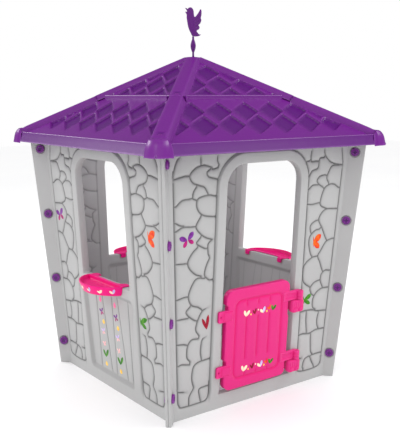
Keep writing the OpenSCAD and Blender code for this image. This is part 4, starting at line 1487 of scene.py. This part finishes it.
def make_stickers():
    """Films on the walls, the leaf and the trays."""
    door_shapes = butterfly(-344, 669, 60, 40, PURPLE, MAGENTA, 16)
    door_shapes += vee(-251, 354, 28, 52, RED, RED, 10) + side_butterfly(288, 590, 42, 56, ORANGE)
    door_shapes += side_butterfly(256, 355, 46, 40, GREEN)
    parts = film_parts(door_shapes, lambda p: wall_relief(p, DOOR_STONES, False)[0], on_wall)
    make("front_wall_stickers", parts, FILMS, "house")
    shapes = butterfly(-350, 667, 62, 42, PURPLE, MAGENTA, 16)
    shapes += side_butterfly(345, 672, 44, 58, ORANGE)
    shapes += side_butterfly(258, 345, 46, 40, GREEN)
    for x in (-66, 46):
        shapes += drop(x - 6, 358, 18, 24, PINK) + butterfly(x - 2, 308, 28, 26, PURPLE, MAGENTA, 20)
        shapes += drop(x + 8, 268, 18, 20, YELLOW) + butterfly(x + 1, 226, 26, 24, LILAC, PEACH, 15)
        shapes += butterfly(x + 3, 174, 24, 18, PEACH, PEACH, 15) + leaf_pair(x + 8, 138, 38, GREEN)
        shapes += drop(x + 8, 90, 18, 20, YELLOW)
    parts = film_parts(shapes, lambda p: wall_relief(p, WINDOW_STONES, True)[0], on_wall)
    make_window_sides("wall_stickers", parts, FILMS)
    bands = []
    for z in (361, 143):
        bands += vee(-72, z, 26, 24, CREAM, CREAM, -12) + drop(-50, z - 8, 7, 8, YELLOW)
        bands += vee(-32, z, 17, 22, RED, RED, 10) + drop(-14, z + 4, 6, 7, CREAM)
        bands += vee(9, z - 2, 25, 22, LILAC, CREAM, 16) + drop(29, z - 9, 8, 9, YELLOW)
        bands += vee(40, z + 3, 16, 18, ORANGE, ORANGE, 20) + vee(62, z, 22, 22, GREEN, GREEN, -14)
    parts = film_parts(bands, lambda p: LEAF_OUT + leaf_relief(p)[0], on_wall)
    make("door_leaf_stickers", parts, FILMS, "door")
    make_tray_stickers()


def make_tray_stickers():
    """Small V shapes evenly round the tray's curved front."""
    shapes = []
    for k, angle in enumerate(np.linspace(-52, 52, 6)):
        x = math.radians(angle) * TRAY_R
        shapes += vee(x, RIM_Z - 19, 21, 17, (CREAM, LILAC)[k % 2], CREAM, 16 if k % 2 else -10)

    def place(p, out):
        rise = RIM_Z - p[:, 1]
        radius = TRAY_R - 0.2 - TRAY_LEAN_IN * rise / TRAY_H + out
        a = p[:, 0] / TRAY_R
        return np.column_stack([radius * np.sin(a), -(TRAY_CENTRE + radius * np.cos(a)), p[:, 1]])

    parts = film_parts(shapes, lambda p: np.zeros(len(p)), place)
    make_window_sides("tray_stickers", parts, FILMS)


make_stickers()


# ---------- stage, light and camera ----------

FLOOR_HALF = 14
CAMERA_AT = (-1.7952, -2.4403, 1.1533)
CAMERA_LOOK = (0.5912, 0.7886, -0.1694)
CAMERA_LENS = 59.62
# Lamps: where each stands, what it faces, its size and its power
LAMPS = {"key": ((-3.0, -1.6, 3.2), (0, 0, 0.8), 1.6, 22),
         "front_edge": ((2.4, -2.2, 3.3), (0, 0, 0.9), 1.4, 54),
         "left_edge": ((-1.8, 3.2, 2.7), (0, 0, 0.9), 1.4, 54),
         "inside": ((0, 0, 1.0), (0.15, 0.3, 0.2), 0.5, 1.8)}
WORLD_STRENGTH = 1.0
WORLD_IN_REFLECTIONS = 0.16


def make_stage():
    """Matt white floor, kept out of the part."""
    size = FLOOR_HALF
    mesh = bpy.data.meshes.new("studio_floor")
    corners = [(-size, -size, 0), (size, -size, 0), (size, size, 0), (-size, size, 0)]
    mesh.from_pydata(corners, [], [(0, 1, 2, 3)])
    n = Nodes("studio_floor_paint")
    where = n.add("TexCoord").outputs["Object"]
    cloud = n.add("TexNoise", Vector=where, Scale=0.6).outputs["Fac"]
    n.link(n.mix(n.ramp(cloud, 0.3, 0.7, 0.0, 1.0), srgb(255, 255, 255), srgb(253, 253, 254)), "Base Color")
    n.shader.inputs["Roughness"].default_value = 0.9
    n.shader.inputs["Specular IOR Level"].default_value = 0.1
    mesh.materials.append(n.material)
    floor = bpy.data.objects.new("studio_floor", mesh)
    bpy.context.scene.collection.objects.link(floor)


def make_light(name, place, aim, size, power):
    """Square lamp at place, turned towards aim."""
    data = bpy.data.lights.new(name, "AREA")
    data.size = size
    data.energy = power
    lamp = bpy.data.objects.new(name, data)
    lamp.location = place
    lamp.rotation_euler = (Vector(aim) - Vector(place)).to_track_quat("-Z", "Y").to_euler()
    bpy.context.scene.collection.objects.link(lamp)


def make_camera():
    """The camera that the photo was solved for."""
    data = bpy.data.cameras.new("camera")
    data.lens = CAMERA_LENS
    data.sensor_width = 36
    camera = bpy.data.objects.new("camera", data)
    camera.location = CAMERA_AT
    camera.rotation_euler = Vector(CAMERA_LOOK).to_track_quat("-Z", "Y").to_euler()
    bpy.context.scene.collection.objects.link(camera)
    bpy.context.scene.camera = camera


def make_world():
    """White surround, much dimmer in reflections."""
    world = bpy.data.worlds.new("studio")
    world.use_nodes = True
    tree = world.node_tree
    path = tree.nodes.new("ShaderNodeLightPath")
    strength = tree.nodes.new("ShaderNodeMapRange")
    strength.inputs["To Min"].default_value = WORLD_STRENGTH
    strength.inputs["To Max"].default_value = WORLD_IN_REFLECTIONS
    tree.links.new(path.outputs["Is Glossy Ray"], strength.inputs["Value"])
    tree.links.new(strength.outputs["Result"], tree.nodes["Background"].inputs["Strength"])
    tree.nodes["Background"].inputs["Color"].default_value = (1, 1, 1, 1)
    bpy.context.scene.world = world


make_stage()
make_camera()
for lamp_name, values in LAMPS.items():
    make_light(lamp_name, *values)
make_world()
bpy.context.scene.view_settings.view_transform = "Standard"
